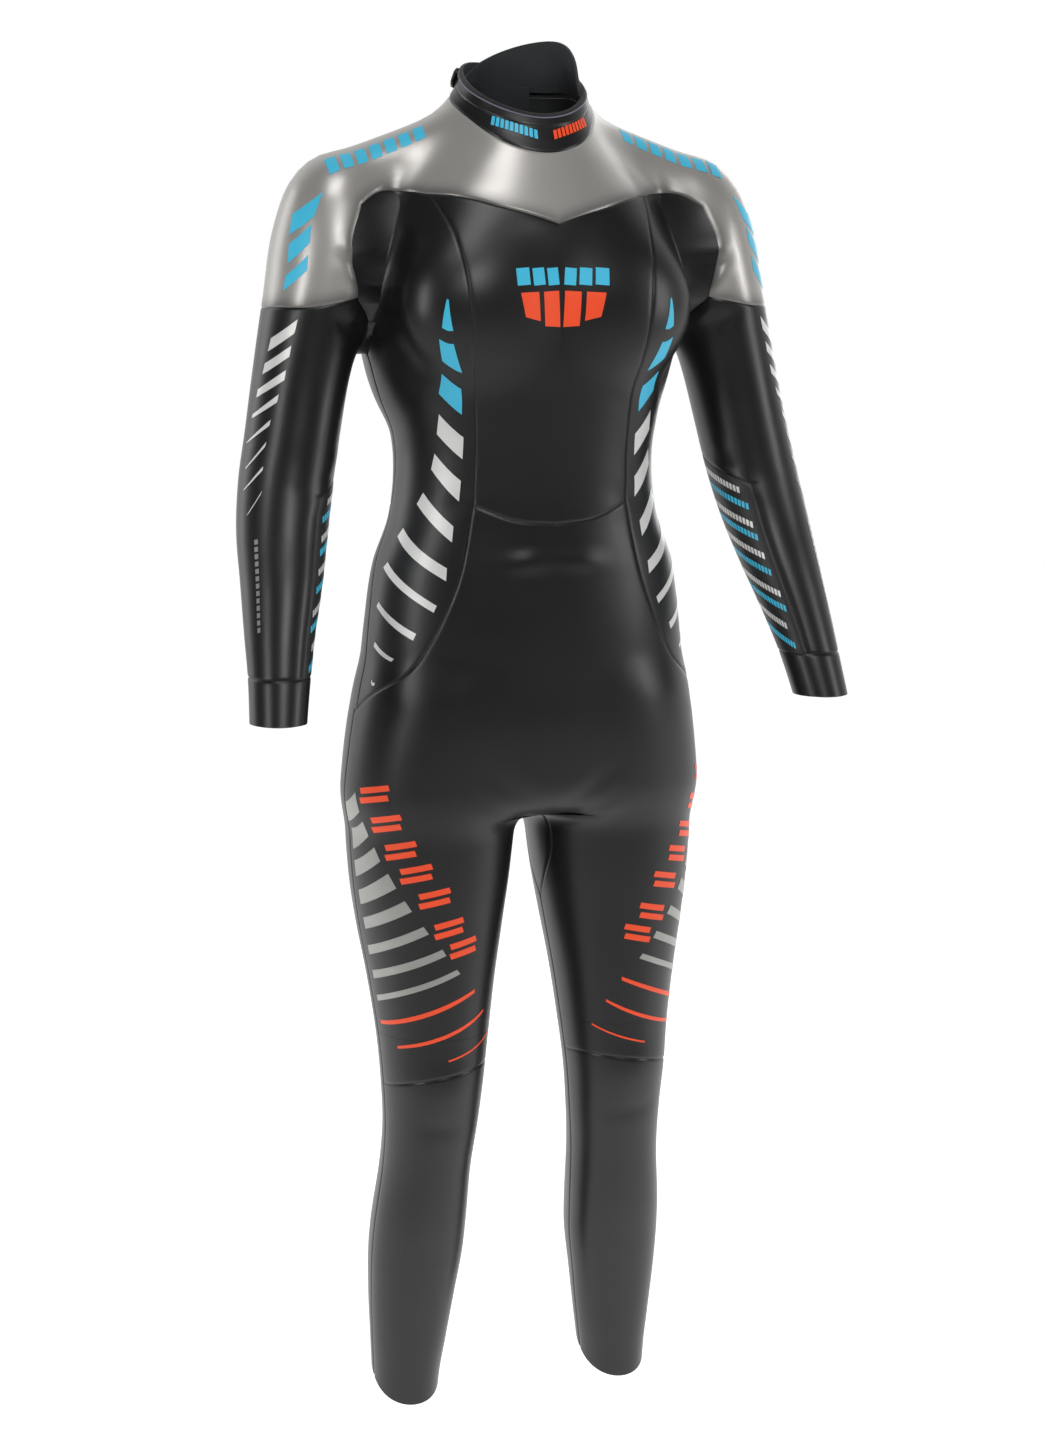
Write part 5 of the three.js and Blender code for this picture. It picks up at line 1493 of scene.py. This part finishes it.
# ---- add-on ----
def size_of(name, text, default, low, high):
    return bpy.props.FloatProperty(name=name, description=text, default=default, min=low,
                                   max=high, unit="LENGTH", precision=4)


def colour_of(name, text, default):
    return bpy.props.FloatVectorProperty(name=name, description=text, default=default, min=0,
                                         max=1, subtype="COLOR")


class SuitSizes(bpy.types.PropertyGroup):
    """Sizes and colours that the pieces are made with."""
    cell: size_of("Cell", "Spacing of the panels' points", 0.0055, 0.003, 0.02)
    seam_depth: size_of("Seam depth", "Depth of the groove at a seam", 0.0009, 0, 0.002)
    seam_width: size_of("Seam width", "Half width of the groove at a seam", 0.0013, 0.0005, 0.004)
    print_thickness: size_of("Print thickness", "Thickness of a printed film", 0.00014, 0.00005,
                             0.0005)
    tooth_pitch: size_of("Tooth pitch", "Spacing of the zip's teeth", 0.0027, 0.0018, 0.004)
    fold_strength: bpy.props.FloatProperty(
        name="Fold strength", description="Scale of the folds and swellings", default=1, min=0,
        max=2, subtype="FACTOR")
    skin_colour: colour_of("Skin colour", "Smooth black rubber", (0.006, 0.006, 0.0066))
    yoke_colour: colour_of("Yoke colour", "Silver rubber of the shoulders", (0.42, 0.405, 0.385))
    blue_colour: colour_of("Blue", "Blue print", (0.051, 0.515, 0.76))
    orange_colour: colour_of("Orange", "Orange print", (0.956, 0.08, 0.017))


class SUIT_OT_yoke(bpy.types.Operator):
    """Add the silver shoulder yoke"""
    bl_idname = "suit.yoke"
    bl_label = "Shoulder yoke"

    def execute(self, context):
        make_yoke()
        return {"FINISHED"}


class SUIT_OT_torso(bpy.types.Operator):
    """Add the chest, flank, back, front, seat and gusset panels"""
    bl_idname = "suit.torso"
    bl_label = "Body panels"

    def execute(self, context):
        make_torso()
        return {"FINISHED"}


class SUIT_OT_limbs(bpy.types.Operator):
    """Add the shins, calves, sleeves, catch panels and cuffs"""
    bl_idname = "suit.limbs"
    bl_label = "Legs and sleeves"

    def execute(self, context):
        make_limbs()
        return {"FINISHED"}


class SUIT_OT_collar(bpy.types.Operator):
    """Add the collar, its binding and piping, and the neck guard"""
    bl_idname = "suit.collar"
    bl_label = "Collar"

    def execute(self, context):
        make_collar()
        return {"FINISHED"}


class SUIT_OT_closure(bpy.types.Operator):
    """Add the collar's closure strap, patches, tab and stitches"""
    bl_idname = "suit.closure"
    bl_label = "Closure strap"

    def execute(self, context):
        make_closure()
        return {"FINISHED"}


class SUIT_OT_zip(bpy.types.Operator):
    """Add the zip's teeth and backing, and finish its tapes, stops, slider and puller"""
    bl_idname = "suit.zip"
    bl_label = "Back zip"

    def execute(self, context):
        make_zip()
        return {"FINISHED"}


class SUIT_OT_prints(bpy.types.Operator):
    """Add the printed slashes, bands, lines and block marks"""
    bl_idname = "suit.prints"
    bl_label = "Prints"

    def execute(self, context):
        make_prints()
        return {"FINISHED"}


class SUIT_OT_stage(bpy.types.Operator):
    """Add the floor, the lamps and the camera"""
    bl_idname = "suit.stage"
    bl_label = "Studio"

    def execute(self, context):
        make_stage()
        return {"FINISHED"}


OPERATORS = [SUIT_OT_yoke, SUIT_OT_torso, SUIT_OT_limbs, SUIT_OT_collar, SUIT_OT_closure,
             SUIT_OT_zip, SUIT_OT_prints, SUIT_OT_stage]


class SUIT_PT_panel(bpy.types.Panel):
    """Sizes, colours and the pieces in their order"""
    bl_idname = "SUIT_PT_panel"
    bl_label = "Wetsuit"
    bl_space_type = "VIEW_3D"
    bl_region_type = "UI"
    bl_category = "Wetsuit"

    def draw(self, context):
        sizes = context.scene.suit_sizes
        for key in SuitSizes.__annotations__:
            self.layout.prop(sizes, key)
        for operator in OPERATORS:
            self.layout.operator(operator.bl_idname)


CLASSES = [SuitSizes, *OPERATORS, SUIT_PT_panel]


def register():
    for item in CLASSES:
        bpy.utils.register_class(item)
    bpy.types.Scene.suit_sizes = bpy.props.PointerProperty(type=SuitSizes)


def unregister():
    del bpy.types.Scene.suit_sizes
    for item in reversed(CLASSES):
        bpy.utils.unregister_class(item)


def main():
    register()
    bpy.ops.suit.yoke()
    bpy.ops.suit.torso()
    bpy.ops.suit.limbs()
    bpy.ops.suit.collar()
    bpy.ops.suit.closure()
    bpy.ops.suit.zip()
    bpy.ops.suit.prints()
    bpy.ops.suit.stage()


if __name__ == "__main__":
    main()
